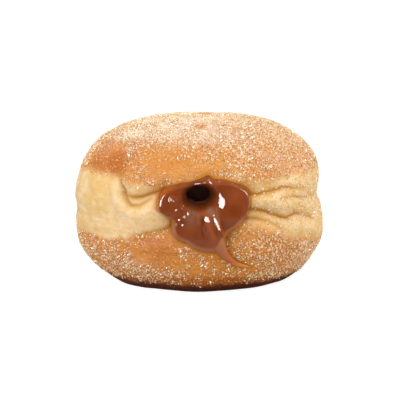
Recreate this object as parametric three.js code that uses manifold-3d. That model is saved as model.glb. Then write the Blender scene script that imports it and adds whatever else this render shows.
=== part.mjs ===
// A filled doughnut: one puffed body of fried dough, and the caramel that was piped into its side.
// Millimetres, +Z up. The body rests on z = 0 round the origin, and the filling shows at the front, -Y.
// Azimuth is counted in degrees from the front, positive towards +X.

import * as THREE from "three";
import { mergeVertices } from "three/addons/utils/BufferGeometryUtils.js";
import Module from "manifold-3d";

const wasm = await Module();
wasm.setup();

// ---------------------------------------------------------------- driving dimensions

const WIDTH = 90;
const DEPTH = 87;
const HEIGHT = 58;
const CLEARANCE = 0.3; // gap between the dough and the filling that lies against it

// The body's profile: two puffed halves, rounder or squarer by their fullness, that meet at a seam.
const PROFILE = {
  seamHeight: 23.3,
  seamStep: 3.4,
  seamReach: 0.35, // how far from the seam the step spreads
  topFullness: 2.58,
  bottomFullness: 2.53,
  bottomDrop: 28, // more than the seam's height, so the counter flattens the base
};

// Soft bumps and dents: where, how far they reach along and up the side, and how far they lift the skin.
const BUMPS = [
  { name: "pinched mouth", azimuth: 1.5, z: 31.5, across: 15, up: 9.5, lift: -3.2 },
  { name: "brow over the mouth", azimuth: 1, z: 46, across: 16, up: 5, lift: 1.0 },
  { name: "chin under the mouth", azimuth: -12, z: 13, across: 13, up: 8, lift: 0.6 },
  { name: "knuckle beside the drip", azimuth: 28, z: 18.5, across: 7.5, up: 6.5, lift: 1.5 },
  { name: "pillow left of the mouth", azimuth: -24, z: 28.5, across: 7, up: 4.5, lift: 1.0 },
  { name: "pillow right of the mouth", azimuth: 30, z: 33.3, across: 8, up: 2.4, lift: 0.8 },
  { name: "hollow left of the fold", azimuth: -49, z: 43, across: 5, up: 6.5, lift: -1.8 },
  { name: "shoulder right of the fold", azimuth: -35.5, z: 44.5, across: 4.5, up: 6, lift: 1.1 },
  { name: "low right bulge", azimuth: 82, z: 14, across: 17, up: 6.5, lift: 0.65 },
  { name: "right waist", azimuth: 82, z: 30, across: 17, up: 6.8, lift: -2.5 },
  { name: "right shoulder", azimuth: 80, z: 46, across: 20, up: 9, lift: 0.7 },
  { name: "left cheek", azimuth: -82, z: 29, across: 22, up: 15, lift: 0.4 },
  { name: "left waist", azimuth: -77, z: 25.5, across: 14, up: 2.6, lift: -0.6 },
  { name: "low left bulge", azimuth: -72, z: 13, across: 18, up: 6, lift: 0.5 },
  { name: "back left bulge", azimuth: -140, z: 40, across: 18, up: 9, lift: 0.9 },
  { name: "back waist", azimuth: 165, z: 28, across: 26, up: 4, lift: -0.8 },
  { name: "back right dent", azimuth: 128, z: 44, across: 9, up: 7, lift: -1.0 },
];
const TOP_DISH = { x: -3, y: 1, radius: 17, lift: -0.9 };

// Creases: a line of [azimuth, z] on the skin, its depth at the first and last point, and its width.
const CREASES = [
  {
    name: "right, under the brow",
    path: [[19, 36.6], [26, 35.3], [35, 36.1], [42, 36.7], [49, 35.6], [58, 34.8]],
    depth: [2.4, 0.4],
    width: 1.5,
  },
  {
    name: "right, short",
    path: [[38, 32.9], [47, 33.1], [53, 32], [68, 30.8]],
    depth: [0.9, 0.9],
    width: 1.2,
  },
  {
    name: "right, main",
    path: [[19, 30.3], [25, 30.4], [30, 29.4], [38, 26.8], [42, 26], [48, 26.9], [53, 26], [66, 23]],
    depth: [2.4, 0.8],
    width: 1.5,
  },
  {
    name: "right, low",
    path: [[19, 27.7], [25, 27.3], [30, 26.2], [37, 23.1], [42, 21.5]],
    depth: [1.4, 0.4],
    width: 1.3,
  },
  {
    name: "left, under the brow",
    path: [[-16, 37.4], [-23, 35.7], [-27, 34.5], [-31, 34], [-35, 34.6]],
    depth: [2.4, 0.8],
    width: 1.5,
  },
  {
    name: "left, smile",
    path: [[-37, 35.2], [-35, 33], [-31.5, 31.2], [-27.5, 31.6], [-23, 34]],
    depth: [1.5, 0.9],
    width: 1.2,
  },
  {
    name: "left, over the chin",
    path: [[-11, 25.6], [-16, 23.7], [-21, 22.7], [-29, 20.8]],
    depth: [1.9, 0.4],
    width: 1.5,
  },
  {
    name: "fold down the left shoulder",
    path: [[-51, 50.4], [-44.5, 47.3], [-42.3, 44], [-41, 41.5], [-39, 39], [-36.5, 36]],
    depth: [0.6, 1.3],
    width: 1.3,
  },
  {
    name: "groove beside the thread",
    path: [[12, 21.5], [12, 17.5], [13.5, 15], [17, 12.6], [24, 10]],
    depth: [1.6, 0.5],
    width: 1.6,
  },
];
// Weaker creases go on round the pale band at the sides and the back.
const BACK_CREASES = {
  count: 8,
  from: 82,
  step: 26,
  sweep: 17,
  z: 29,
  swing: 6,
  wiggle: 0.9,
  depth: 1.0,
  width: 1.4,
};
// The dough swells beside a crease: a share of its depth, and how far off and how wide in crease widths.
const PUFF = { share: 0.28, away: 3, reach: 1.6 };
const UNEVEN = { waves: 6, longest: 40, shortest: 13, height: 0.1 };

// The pocket that the filling takes up inside the dough, and the neck that joins it to the mouth.
const POCKET = { x: 1, y: -13, z: 31, halfWidth: 19, halfDepth: 23, halfHeight: 10.5 };
const NECK = { x: 1.2, z: 32, halfWidth: 10.8, halfHeight: 8.8, from: -24, to: -52 };
const MOUTH_DEPTH = 1; // how far inside the skin the filling in the neck stops

// What the filling shows outside: its outline round a middle point, as [angle, radius] from +X towards +Z.
const SPILL = { x: 1, z: 31, thickness: 2.3, sunk: 1.4, blend: 0.3, root: -26 };
const OUTLINE = [
  [0, 15.8], [20, 16.7], [38, 14], [52, 12.3], [70, 10.8], [81, 11.5], [96, 10.4], [115, 10.2],
  [133, 12], [147, 13.7], [158, 15.3], [170, 15.9], [182, 15.2], [190, 12.6], [201, 11.7],
  [212, 13], [224, 13.8], [243, 13], [262, 14.3], [276, 15.1], [285, 15.6], [292, 14.8],
  [301, 13.2], [311, 12.5], [323, 12.2], [340, 14],
];
// Its rim rises steeply off the dough, then leans in over a band before the face: [angle, width of the band].
const RIM = {
  foot: 0.42, // the share of the height that rises steeply
  footShare: 0.25, // the share of the band that it takes
  bend: 0.12, // how softly the band turns into the face
  band: [
    [0, 0.9], [40, 1], [70, 1.6], [110, 1.8], [140, 1.1], [180, 1], [195, 1.8], [220, 1.9],
    [240, 2.4], [262, 3.4], [280, 4.2], [300, 3], [320, 1.6], [345, 1.2], [360, 0.9],
  ],
};
// Lobes that swell from it: middle, reach in x and z, turn, height, flatness and steepness.
const LOBES = [
  {
    name: "right",
    x: 12.7,
    z: 30.4,
    halfX: 6.6,
    halfZ: 8.9,
    turn: 5.7,
    lift: 2.8,
    flat: 1.5,
    edge: 0.82,
  },
  { name: "left", x: -12.2, z: 35.4, halfX: 8.4, halfZ: 6.6, turn: -12, lift: 1.7, flat: 2.2, edge: 0.5 },
  { name: "low", x: -2.9, z: 26.2, halfX: 9.4, halfZ: 6.2, turn: -32, lift: 0.7, flat: 4, edge: 0.5 },
  { name: "upper lip", x: 0.5, z: 41, halfX: 11, halfZ: 2.2, turn: 0, lift: 0.9, flat: 4, edge: 0.5 },
  { name: "blip", x: 2.9, z: 42.2, halfX: 1.3, halfZ: 1.3, turn: 0, lift: 2.4, flat: 4, edge: 0.5 },
];
// A shallow dip with a trumpet mouth inside it, where the nozzle was.
const FUNNEL = {
  x: -0.2,
  z: 35.4,
  halfX: 5.8,
  halfZ: 4.2,
  drop: 1.2,
  mouth: { drop: 6.5, share: 0.84, power: 2.6 },
};
// Folds where the last of it was drawn off: points of [x, z, height], and the width of each fold.
const FOLDS = [
  { width: 2, path: [[-0.8, 30.8, 0.2], [0, 28.7, 1], [0.8, 26, 1.15], [1.8, 23.7, 0.8]] },
  {
    width: 3.65,
    path: [[0.8, 31.5, 0.05], [1.8, 30.35, 0.9], [2.75, 27.7, 2.15], [3.8, 24.6, 2.45], [5.6, 19, 1.6]],
  },
  { width: 3.8, path: [[4.2, 31.2, 0.45], [5.1, 29.4, 1.5], [6.3, 24.95, 2.9], [7.6, 21.25, 2.3]] },
];
// A fold is a leaning roof with steep edges.
const FOLD_SHAPE = {
  crest: 0.5, // the place of its ridge, from 0 in the middle to 1 at the right side
  roof: 0.855, // the share of its height that the roof falls
  roofPower: 1.55,
  edgePower: 7.6,
};
// The thread that hangs from the folds: points of [x, z, height over the skin], and its radii.
const THREAD = {
  path: [
    [5.3, 23.4, 1.2], [6.2, 19.8, 0.8], [7.6, 16.6, 0.3], [9.5, 14.2, 0.3],
    [12, 12.3, 0.4], [14.8, 11.1, 0.4], [17.5, 10.3, 0.2],
  ],
  radii: [2.4, 2.3, 1.85, 1.3, 0.9, 0.6, 0.4],
  roundEnd: 0.12, // the share of its length that closes each end
};
// The hole that the nozzle left: it narrows to a round end inside the pocket.
const NOZZLE_HOLE = {
  x: -0.6,
  flatEnd: 0.04, // shares of its rows that close it at the outside and at the inside
  roundEnd: 0.16,
  stations: [
    { y: -54, z: 36.6, halfWidth: 3.7, halfHeight: 2.7 },
    { y: -45, z: 36.5, halfWidth: 3.7, halfHeight: 2.7 },
    { y: -41, z: 36.1, halfWidth: 3.9, halfHeight: 2.8 },
    { y: -30, z: 35.4, halfWidth: 5.1, halfHeight: 4 },
    { y: -17, z: 34.4, halfWidth: 5, halfHeight: 4.4 },
  ],
};

// Facets: across and down each skin.
const FACETS = {
  body: [84, 54],
  pocket: [24, 10],
  neck: 24,
  spill: [60, 22],
  thread: [10, 12],
  hole: [20, 14],
};
const BODY_ROWS = {
  seam: 0.6, // the share of the rows above the seam
  base: 46, // the base edge's latitude
  frontPull: 0.52, // how strongly the columns crowd towards the front
  gather: [1.3, 1.2], // how strongly the rows crowd towards the seam, above and below it
  flat: 12, // and towards the base edge
};
const SPILL_ROWS = { front: 0.84, gather: 0.75 }; // share of the rows on the front, gathered towards its rim

// ---------------------------------------------------------------- small helpers

const { sin, cos, sign, abs, hypot, exp, min, max, tanh, PI } = Math;
const radians = (degrees) => (degrees * PI) / 180;
const lerp = THREE.MathUtils.lerp;
const clamp = THREE.MathUtils.clamp;

// A closed skin: place(u, v) gives the point of each vertex, with u once round and v from the top pole down.
function closedSkin([across, down], place) {
  const geometry = new THREE.SphereGeometry(1, across, down);
  const { position, uv } = geometry.attributes;
  for (let i = 0; i < position.count; i++) {
    const point = place(uv.getX(i), 1 - uv.getY(i));
    position.setXYZ(i, point.x, point.y, point.z);
  }
  return geometry;
}

function solidFrom(geometry) {
  const bare = geometry.clone().deleteAttribute("normal").deleteAttribute("uv");
  const merged = mergeVertices(bare, 1e-3);
  const vertProperties = new Float32Array(merged.attributes.position.array);
  const triVerts = new Uint32Array(merged.index.array);
  return new wasm.Manifold(new wasm.Mesh({ numProp: 3, vertProperties, triVerts }));
}

function meshFrom(solid, name, material) {
  const { vertProperties, triVerts } = solid.getMesh();
  const geometry = new THREE.BufferGeometry();
  geometry.setAttribute("position", new THREE.BufferAttribute(vertProperties, 3));
  geometry.setIndex(new THREE.BufferAttribute(triVerts, 1));
  geometry.computeVertexNormals();
  const mesh = new THREE.Mesh(geometry, material);
  mesh.name = name;
  return mesh;
}

const largestOf = (solid) => solid.decompose().reduce((a, b) => (b.volume() > a.volume() ? b : a));

// ---------------------------------------------------------------- the body's skin

// Share of the half width, and height, at a latitude from -90 degrees (base) to 90 (top).
function profile(latitude) {
  const s = sin(radians(latitude));
  const c = max(cos(radians(latitude)), 0);
  const { seamHeight, seamStep, seamReach, topFullness, bottomFullness, bottomDrop } = PROFILE;
  const fullness = s > 0 ? topFullness : bottomFullness;
  const rise = s > 0 ? HEIGHT - seamHeight - seamStep / 2 : bottomDrop;
  const seam = seamHeight + (seamStep / 2) * tanh(s / seamReach);
  return { share: c ** (2 / fullness), z: seam + sign(s) * abs(s) ** (2 / fullness) * rise };
}

function latitudeAt(z) {
  let [low, high] = [-90, 90];
  for (let step = 0; step < 30; step++) {
    const middle = (low + high) / 2;
    if (profile(middle).z < z) low = middle;
    else high = middle;
  }
  return (low + high) / 2;
}

// The plain body, before bumps and creases, and the way its skin faces.
function plainPoint(azimuth, latitude) {
  const { share, z } = profile(latitude);
  const a = radians(azimuth);
  return new THREE.Vector3((WIDTH / 2) * share * sin(a), (-DEPTH / 2) * share * cos(a), z);
}

function plainNormal(azimuth, latitude) {
  const above = profile(min(latitude + 0.5, 90));
  const below = profile(max(latitude - 0.5, -90));
  const a = radians(azimuth);
  const out = abs(latitude) > 89.9 ? 0 : above.z - below.z;
  const up = ((below.share - above.share) * WIDTH) / 2;
  return new THREE.Vector3(out * sin(a), -out * cos(a), up).normalize();
}

// How far in front of the XZ plane the plain body lies at (x, z).
function plainFront(x, z) {
  const { share } = profile(latitudeAt(z));
  return (DEPTH / 2) * share * Math.sqrt(max(1 - (x / ((WIDTH / 2) * share)) ** 2, 0));
}

const onSkin = ([azimuth, z]) => plainPoint(azimuth, latitudeAt(z));

function bumpLift(point, { azimuth, z, across, up, lift }) {
  const turn = Math.atan2(point.x, -point.y) - radians(azimuth);
  const along = Math.atan2(sin(turn), cos(turn)) * hypot(point.x, point.y);
  return lift * exp(-((along / across) ** 2) - ((point.z - z) / up) ** 2);
}

function dishLift(point) {
  const away = hypot(point.x - TOP_DISH.x, point.y - TOP_DISH.y);
  return point.z > HEIGHT / 2 ? TOP_DISH.lift * exp(-((away / TOP_DISH.radius) ** 2)) : 0;
}

// A sharp valley along the crease's line, with the dough swelling a little on both sides of it.
function creaseLift(point, { points, depth, width }) {
  let nearest = Infinity;
  let share = 0;
  const line = new THREE.Line3();
  const foot = new THREE.Vector3();
  points.slice(1).forEach((end, i) => {
    line.set(points[i], end);
    const t = line.closestPointToPointParameter(point, true);
    const away = line.at(t, foot).distanceTo(point);
    if (away < nearest) [nearest, share] = [away, (i + t) / (points.length - 1)];
  });
  const deep = lerp(depth[0], depth[1], share);
  const valley = exp(-nearest / width);
  const swell = exp(-(((nearest / width - PUFF.away) / PUFF.reach) ** 2));
  return deep * (PUFF.share * swell - valley);
}

const creases = CREASES.map((crease) => ({ ...crease, points: crease.path.map(onSkin) }));
for (let i = 0; i < BACK_CREASES.count; i++) {
  const { from, step, sweep, z, swing, wiggle, depth, width } = BACK_CREASES;
  const level = z + swing * sin(2.4 * i);
  const path = [0, 1, 2, 3].map((k) => [from + i * step + (k * sweep) / 3, level + wiggle * sin(2 * k + i)]);
  creases.push({ points: path.map(onSkin), depth: [depth, depth / 2], width });
}

function unevenLift(point) {
  const { waves, longest, shortest, height } = UNEVEN;
  const goldenAngle = 2.39996;
  let lift = 0;
  for (let i = 0; i < waves; i++) {
    const way = new THREE.Vector3().setFromSphericalCoords(1, PI * ((i + 0.5) / waves), i * goldenAngle);
    const length = longest * (shortest / longest) ** (i / (waves - 1));
    lift += height * sin((2 * PI * way.dot(point)) / length + 1.7 * i);
  }
  return lift;
}

function relief(point) {
  const bumps = BUMPS.reduce((sum, bump) => sum + bumpLift(point, bump), 0);
  const valleys = creases.reduce((sum, crease) => sum + creaseLift(point, crease), 0);
  return bumps + valleys + dishLift(point) + unevenLift(point);
}

// Facets crowd towards the front and the band, where the folds are, and thin out under the base.
function bodySkin(grow = 0) {
  const { seam, base, frontPull, gather, flat } = BODY_ROWS;
  return closedSkin(FACETS.body, (u, v) => {
    const turn = 2 * PI * u - PI;
    const azimuth = THREE.MathUtils.radToDeg(turn - frontPull * sin(turn));
    const t = v < seam ? 1 - v / seam : (v - seam) / (1 - seam);
    const below = base * t ** gather[1] + (90 - base) * t ** flat;
    const latitude = v < seam ? 90 * t ** gather[0] : -below;
    const point = plainPoint(azimuth, latitude);
    point.addScaledVector(plainNormal(azimuth, latitude), relief(point) + grow);
    point.z = max(point.z, -grow);
    return point;
  });
}

// ---------------------------------------------------------------- the pocket in the dough

function pocketSolid(shrink) {
  const { x, y, z, halfWidth, halfDepth, halfHeight } = POCKET;
  const pocket = new THREE.SphereGeometry(1, ...FACETS.pocket)
    .scale(halfWidth - shrink, halfDepth - shrink, halfHeight - shrink)
    .translate(x, y, z);
  const neck = new THREE.CylinderGeometry(1, 1, NECK.from - NECK.to, FACETS.neck)
    .scale(NECK.halfWidth - shrink, 1, NECK.halfHeight - shrink)
    .translate(NECK.x, (NECK.from + NECK.to) / 2, NECK.z);
  return solidFrom(pocket).add(solidFrom(neck));
}

// ---------------------------------------------------------------- the filling

// The outline's radius at an angle, smooth through its points.
function outlineRadius(degrees) {
  const count = OUTLINE.length;
  const angle = ((degrees % 360) + 360) % 360;
  const next = OUTLINE.findIndex(([at]) => at > angle);
  const i = (next < 0 ? count : next) - 1;
  const point = (k) => {
    const [at, radius] = OUTLINE[(k + count) % count];
    return [at + 360 * Math.floor(k / count), radius];
  };
  const [p0, p1, p2, p3] = [point(i - 1), point(i), point(i + 1), point(i + 2)];
  const span = p2[0] - p1[0];
  const t = (angle - p1[0]) / span;
  const slope1 = ((p2[1] - p0[1]) / (p2[0] - p0[0])) * span;
  const slope2 = ((p3[1] - p1[1]) / (p3[0] - p1[0])) * span;
  const bend = p1[1] * (2 * t ** 3 - 3 * t ** 2 + 1) + p2[1] * (3 * t ** 2 - 2 * t ** 3);
  return bend + slope1 * (t ** 3 - 2 * t ** 2 + t) + slope2 * (t ** 3 - t ** 2);
}

// How far out the creased dough lies at (x, z).
function doughFront(x, z) {
  const front = plainFront(x, z);
  return front + relief(new THREE.Vector3(x, -front, z));
}

// The largest of some heights, with the corner between two of them rounded over the blend.
function smoothMax(heights, blend) {
  const top = max(...heights);
  return top + blend * Math.log(heights.reduce((sum, height) => sum + exp((height - top) / blend), 0));
}

function lobeHeight(x, z, lobe) {
  const a = radians(lobe.turn);
  const along = ((x - lobe.x) * cos(a) + (z - lobe.z) * sin(a)) / lobe.halfX;
  const across = ((z - lobe.z) * cos(a) - (x - lobe.x) * sin(a)) / lobe.halfZ;
  return lobe.lift * max(1 - hypot(along, across) ** lobe.flat, 0) ** lobe.edge;
}

// The left side of a fold is a long slope and its right side a short one.
function foldHeight(x, z, { path, width }) {
  const here = new THREE.Vector2(x, z);
  const { crest, roof, roofPower, edgePower } = FOLD_SHAPE;
  let height = 0;
  path.slice(1).forEach((end, i) => {
    const start = new THREE.Vector2(path[i][0], path[i][1]);
    const along = new THREE.Vector2(end[0], end[1]).sub(start);
    const offset = here.clone().sub(start);
    const t = offset.dot(along) / along.lengthSq();
    const past = (max(-t, t - 1, 0) * along.length()) / (width / 2);
    const side = along.cross(offset) / along.length() / (width / 2);
    const off = side < crest ? (crest - side) / (1 + crest) : (side - crest) / (1 - crest);
    const top = lerp(path[i][2], end[2], clamp(t, 0, 1));
    const out = min(hypot(off, past), 1);
    height = max(height, top * (1 - roof * out ** roofPower) * Math.sqrt(1 - out ** edgePower));
  });
  return height;
}

function spillHeight(x, z) {
  const lobes = LOBES.map((lobe) => lobeHeight(x, z, lobe));
  const folds = FOLDS.map((fold) => foldHeight(x, z, fold));
  const away = hypot((x - FUNNEL.x) / FUNNEL.halfX, (z - FUNNEL.z) / FUNNEL.halfZ);
  const { drop, share, power } = FUNNEL.mouth;
  const dip = FUNNEL.drop * exp(-(away ** 4)) + drop * exp(-((away / share) ** power));
  return SPILL.thickness + smoothMax([0, ...lobes, ...folds], SPILL.blend) - dip;
}

// How far the rim has risen at a distance in from the outline: 0 at the outline, 1 on the face.
function rimShape(angle, inset) {
  const next = RIM.band.findIndex(([at]) => at >= angle % 360);
  const [from, to] = [RIM.band[max(next - 1, 0)], RIM.band[max(next, 1)]];
  const width = lerp(from[1], to[1], (angle % 360 - from[0]) / (to[0] - from[0]));
  const t = inset / width;
  const foot = Math.sqrt(1 - (1 - min(t / RIM.footShare, 1)) ** 2);
  const leaning = lerp(t, foot, RIM.foot);
  const bent = clamp(leaning - 1 + RIM.bend, 0, 2 * RIM.bend);
  return min(leaning, 1 + RIM.bend) - bent ** 2 / (4 * RIM.bend);
}

// The spill: its rim dips into the dough, and a cone closes it inside the pocket.
function spillSolid() {
  const { front, gather } = SPILL_ROWS;
  return solidFrom(
    closedSkin(FACETS.spill, (u, v) => {
      const angle = 360 * u;
      const share = v < front ? (v / front) ** gather : (1 - v) / (1 - front);
      const reach = outlineRadius(angle);
      const place = (part) => [
        SPILL.x + reach * part * cos(radians(angle)),
        SPILL.z + reach * part * sin(radians(angle)),
      ];
      const [x, z] = place(share);
      const edge = doughFront(...place(1)) - SPILL.sunk;
      if (v >= front) return new THREE.Vector3(x, -lerp(-SPILL.root, edge, share), z);
      const face = plainFront(x, z) + spillHeight(x, z);
      return new THREE.Vector3(x, -lerp(edge, face, rimShape(angle, reach * (1 - share))), z);
    }),
  );
}

// The thread: round in section, along a smooth path, closed by round ends.
function threadSolid({ path, radii, roundEnd }) {
  const curve = new THREE.CatmullRomCurve3(
    path.map(([x, z, lift]) => new THREE.Vector3(x, -plainFront(x, z) - lift, z)),
  );
  return solidFrom(
    closedSkin(FACETS.thread, (u, v) => {
      const along = v * (radii.length - 1);
      const i = min(Math.floor(along), radii.length - 2);
      const thick = lerp(radii[i], radii[i + 1], along - i);
      const end = min(v, 1 - v) / roundEnd;
      const radius = thick * Math.sqrt(1 - max(1 - end, 0) ** 2);
      const tangent = curve.getTangent(v);
      const outward = new THREE.Vector3(0, -1, 0);
      const side = new THREE.Vector3().crossVectors(outward, tangent).normalize();
      const lift = new THREE.Vector3().crossVectors(side, tangent);
      return curve
        .getPoint(v)
        .addScaledVector(side, radius * cos(2 * PI * u))
        .addScaledVector(lift, radius * sin(2 * PI * u));
    }),
  );
}

// The nozzle hole, as a solid to cut away, through its stations from the outside inwards.
function holeSolid() {
  const { x, stations, flatEnd, roundEnd } = NOZZLE_HOLE;
  const last = stations.length - 1;
  return solidFrom(
    closedSkin(FACETS.hole, (u, v) => {
      const along = last * clamp((v - flatEnd) / (1 - flatEnd - roundEnd), 0, 1);
      const i = min(Math.floor(along), last - 1);
      const at = (key) => lerp(stations[i][key], stations[i + 1][key], along - i);
      const tip = clamp((v - 1 + roundEnd) / roundEnd, 0, 1);
      const width = min(v / flatEnd, Math.sqrt(1 - tip ** 2));
      const across = x + at("halfWidth") * width * cos(2 * PI * u);
      const up = at("z") + at("halfHeight") * width * sin(2 * PI * u);
      return new THREE.Vector3(across, at("y") + at("halfHeight") * tip, up);
    }),
  );
}

// ---------------------------------------------------------------- the object

const doughMaterial = new THREE.MeshStandardMaterial({ color: 0xdca465, roughness: 0.75, metalness: 0 });
const caramelMaterial = new THREE.MeshStandardMaterial({ color: 0x8a4520, roughness: 0.18, metalness: 0 });

const dough = solidFrom(bodySkin()).subtract(pocketSolid(0));

// Outside, the spill lies on the dough. Inside, it fills the pocket and the neck out to the mouth.
const spill = spillSolid().add(threadSolid(THREAD));
const outside = spill.subtract(solidFrom(bodySkin(CLEARANCE)));
const inside = pocketSolid(CLEARANCE).intersect(spill.add(solidFrom(bodySkin(-MOUTH_DEPTH))));
const filling = outside.add(inside).subtract(holeSolid());

const doughnut = new THREE.Group();
doughnut.add(meshFrom(largestOf(dough), "dough_body", doughMaterial));
doughnut.add(meshFrom(largestOf(filling), "caramel_filling", caramelMaterial));

export default doughnut;
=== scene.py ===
import math

import bpy
import numpy as np
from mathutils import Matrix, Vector, noise


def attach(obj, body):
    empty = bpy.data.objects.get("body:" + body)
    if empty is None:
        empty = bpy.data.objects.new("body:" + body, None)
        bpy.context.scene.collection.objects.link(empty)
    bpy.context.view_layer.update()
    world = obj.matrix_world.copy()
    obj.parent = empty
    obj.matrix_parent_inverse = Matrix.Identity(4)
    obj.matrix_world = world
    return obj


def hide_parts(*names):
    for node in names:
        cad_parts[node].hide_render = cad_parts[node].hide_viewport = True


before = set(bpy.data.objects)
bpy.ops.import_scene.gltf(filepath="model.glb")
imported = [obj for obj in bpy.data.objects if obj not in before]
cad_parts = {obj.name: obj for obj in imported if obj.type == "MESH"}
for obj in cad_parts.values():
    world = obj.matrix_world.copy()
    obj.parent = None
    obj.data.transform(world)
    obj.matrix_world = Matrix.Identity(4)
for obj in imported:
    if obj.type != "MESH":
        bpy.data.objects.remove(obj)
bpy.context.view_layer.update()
mm = 0.001
print("frame loaded, nodes:", sorted(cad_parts))


# the view: a long lens a little above table height

view = {"lens": 120, "sensor": 36, "distance": 490, "elevation": 11, "nearest": 10,
        "lookAt": (0, 0, 26.1)}


def makeCamera():
    tilt = math.radians(view["elevation"])
    away = Vector((0, -math.cos(tilt), math.sin(tilt))) * view["distance"]
    data = bpy.data.cameras.new("camera")
    data.lens = view["lens"]
    data.sensor_width = view["sensor"]
    data.clip_start = view["nearest"] * mm
    camera = bpy.data.objects.new("camera", data)
    camera.location = (Vector(view["lookAt"]) + away) * mm
    camera.rotation_euler = (math.pi / 2 - tilt, 0, 0)
    bpy.context.scene.collection.objects.link(camera)
    bpy.context.scene.camera = camera


makeCamera()


# the shape of the dough, in millimetres: azimuth in degrees from the front, positive towards +X

dough = {
    "width": 90, "depth": 87, "height": 58,
    "seamHeight": 23.3, "seamStep": 3.4, "seamSoftness": 0.35,
    "topFullness": 2.58, "bottomFullness": 2.53, "bottomDrop": 28, "profileSteps": 20001,
    "dish": {"x": -3, "y": 1, "radius": 17, "lift": -0.9},
    "waves": 6, "longestWave": 40, "shortestWave": 13,
    "waveHeight": 0.1, "waveTurn": 2.39996, "waveShift": 1.7,
    "puff": 0.28, "puffAway": 3, "puffWidth": 1.6,  # beside a crease, in widths of it
}

# azimuth, height, reach along, reach up, lift
bumps = {
    "pinched mouth": (1.5, 31.5, 15, 9.5, -3.2),
    "brow over the mouth": (1, 46, 16, 5, 1.0),
    "chin under the mouth": (-12, 13, 13, 8, 0.6),
    "knuckle beside the drip": (28, 18.5, 7.5, 6.5, 1.5),
    "pillow left of the mouth": (-24, 28.5, 7, 4.5, 1.0),
    "pillow right of the mouth": (30, 33.3, 8, 2.4, 0.8),
    "hollow left of the fold": (-49, 43, 5, 6.5, -1.8),
    "shoulder right of the fold": (-35.5, 44.5, 4.5, 6, 1.1),
    "low right bulge": (82, 14, 17, 6.5, 0.65),
    "right waist": (82, 30, 17, 6.8, -2.5),
    "right shoulder": (80, 46, 20, 9, 0.7),
    "left cheek": (-82, 29, 22, 15, 0.4),
    "left waist": (-77, 25.5, 14, 2.6, -0.6),
    "low left bulge": (-72, 13, 18, 6, 0.5),
    "back left bulge": (-140, 40, 18, 9, 0.9),
    "back waist": (165, 28, 26, 4, -0.8),
    "back right dent": (128, 44, 9, 7, -1.0),
}

# path of (azimuth, height), depth at both ends, width
creases = {
    "right, under the brow": (
        [(19, 36.6), (26, 35.3), (35, 36.1), (42, 36.7), (49, 35.6), (58, 34.8)], 2.4, 0.4, 1.5),
    "right, short": ([(38, 32.9), (47, 33.1), (53, 32), (68, 30.8)], 0.9, 0.9, 1.2),
    "right, main": (
        [(19, 30.3), (25, 30.4), (30, 29.4), (38, 26.8), (42, 26), (48, 26.9), (53, 26), (66, 23)],
        2.4, 0.8, 1.5),
    "right, low": ([(19, 27.7), (25, 27.3), (30, 26.2), (37, 23.1), (42, 21.5)], 1.4, 0.4, 1.3),
    "left, under the brow": (
        [(-16, 37.4), (-23, 35.7), (-27, 34.5), (-31, 34), (-35, 34.6)], 2.4, 0.8, 1.5),
    "left, smile": ([(-37, 35.2), (-35, 33), (-31.5, 31.2), (-27.5, 31.6), (-23, 34)], 1.5, 0.9, 1.2),
    "left, over the chin": ([(-11, 25.6), (-16, 23.7), (-21, 22.7), (-29, 20.8)], 1.9, 0.4, 1.5),
    "fold down the left shoulder": (
        [(-51, 50.4), (-44.5, 47.3), (-42.3, 44), (-41, 41.5), (-39, 39), (-36.5, 36)], 0.6, 1.3, 1.3),
    "groove beside the thread": ([(12, 21.5), (12, 17.5), (13.5, 15), (17, 12.6), (24, 10)], 1.6, 0.5, 1.6),
}
sideCreases = {"count": 8, "from": 82, "step": 26, "sweep": 17, "bends": 3, "z": 29, "swing": 6,
               "swingTurn": 2.4, "wiggle": 0.9, "wiggleTurn": 2, "depth": 1.0, "width": 1.4}


def profile(latitude):
    # share of the half width, and height, from -90 at the base to 90 at the top
    s = np.sin(np.radians(latitude))
    c = np.maximum(np.cos(np.radians(latitude)), 0)
    fullness = np.where(s > 0, dough["topFullness"], dough["bottomFullness"])
    step = dough["seamStep"] / 2
    rise = np.where(s > 0, dough["height"] - dough["seamHeight"] - step, dough["bottomDrop"])
    z = dough["seamHeight"] + step * np.tanh(s / dough["seamSoftness"])
    return c ** (2 / fullness), z + np.sign(s) * np.abs(s) ** (2 / fullness) * rise


latitudeTable = np.linspace(-90, 90, dough["profileSteps"])
shareTable, heightTable = profile(latitudeTable)


def plainPoint(azimuth, latitude):
    share, z = profile(latitude)
    a = np.radians(azimuth)
    x = dough["width"] / 2 * share * np.sin(a)
    return np.stack([x, -dough["depth"] / 2 * share * np.cos(a), z], -1)


def plainNormal(azimuth, latitude, nudge=0.5, pole=89.9):
    shareAbove, zAbove = profile(np.minimum(latitude + nudge, 90))
    shareBelow, zBelow = profile(np.maximum(latitude - nudge, -90))
    a = np.radians(azimuth)
    out = np.where(np.abs(latitude) > pole, 0, zAbove - zBelow)
    up = (shareBelow - shareAbove) * dough["width"] / 2
    normal = np.stack([out * np.sin(a), -out * np.cos(a), up], -1)
    return normal / np.linalg.norm(normal, axis=-1, keepdims=True)


def plainFront(x, z):
    # how far in front of the middle the dough's plain skin is
    share = np.interp(z, heightTable, shareTable)
    return dough["depth"] / 2 * share * np.sqrt(np.maximum(1 - (x / (dough["width"] / 2 * share)) ** 2, 0))


def onSkin(path):
    path = np.array(path, float)
    return plainPoint(path[:, 0], np.interp(path[:, 1], heightTable, latitudeTable))


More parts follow.
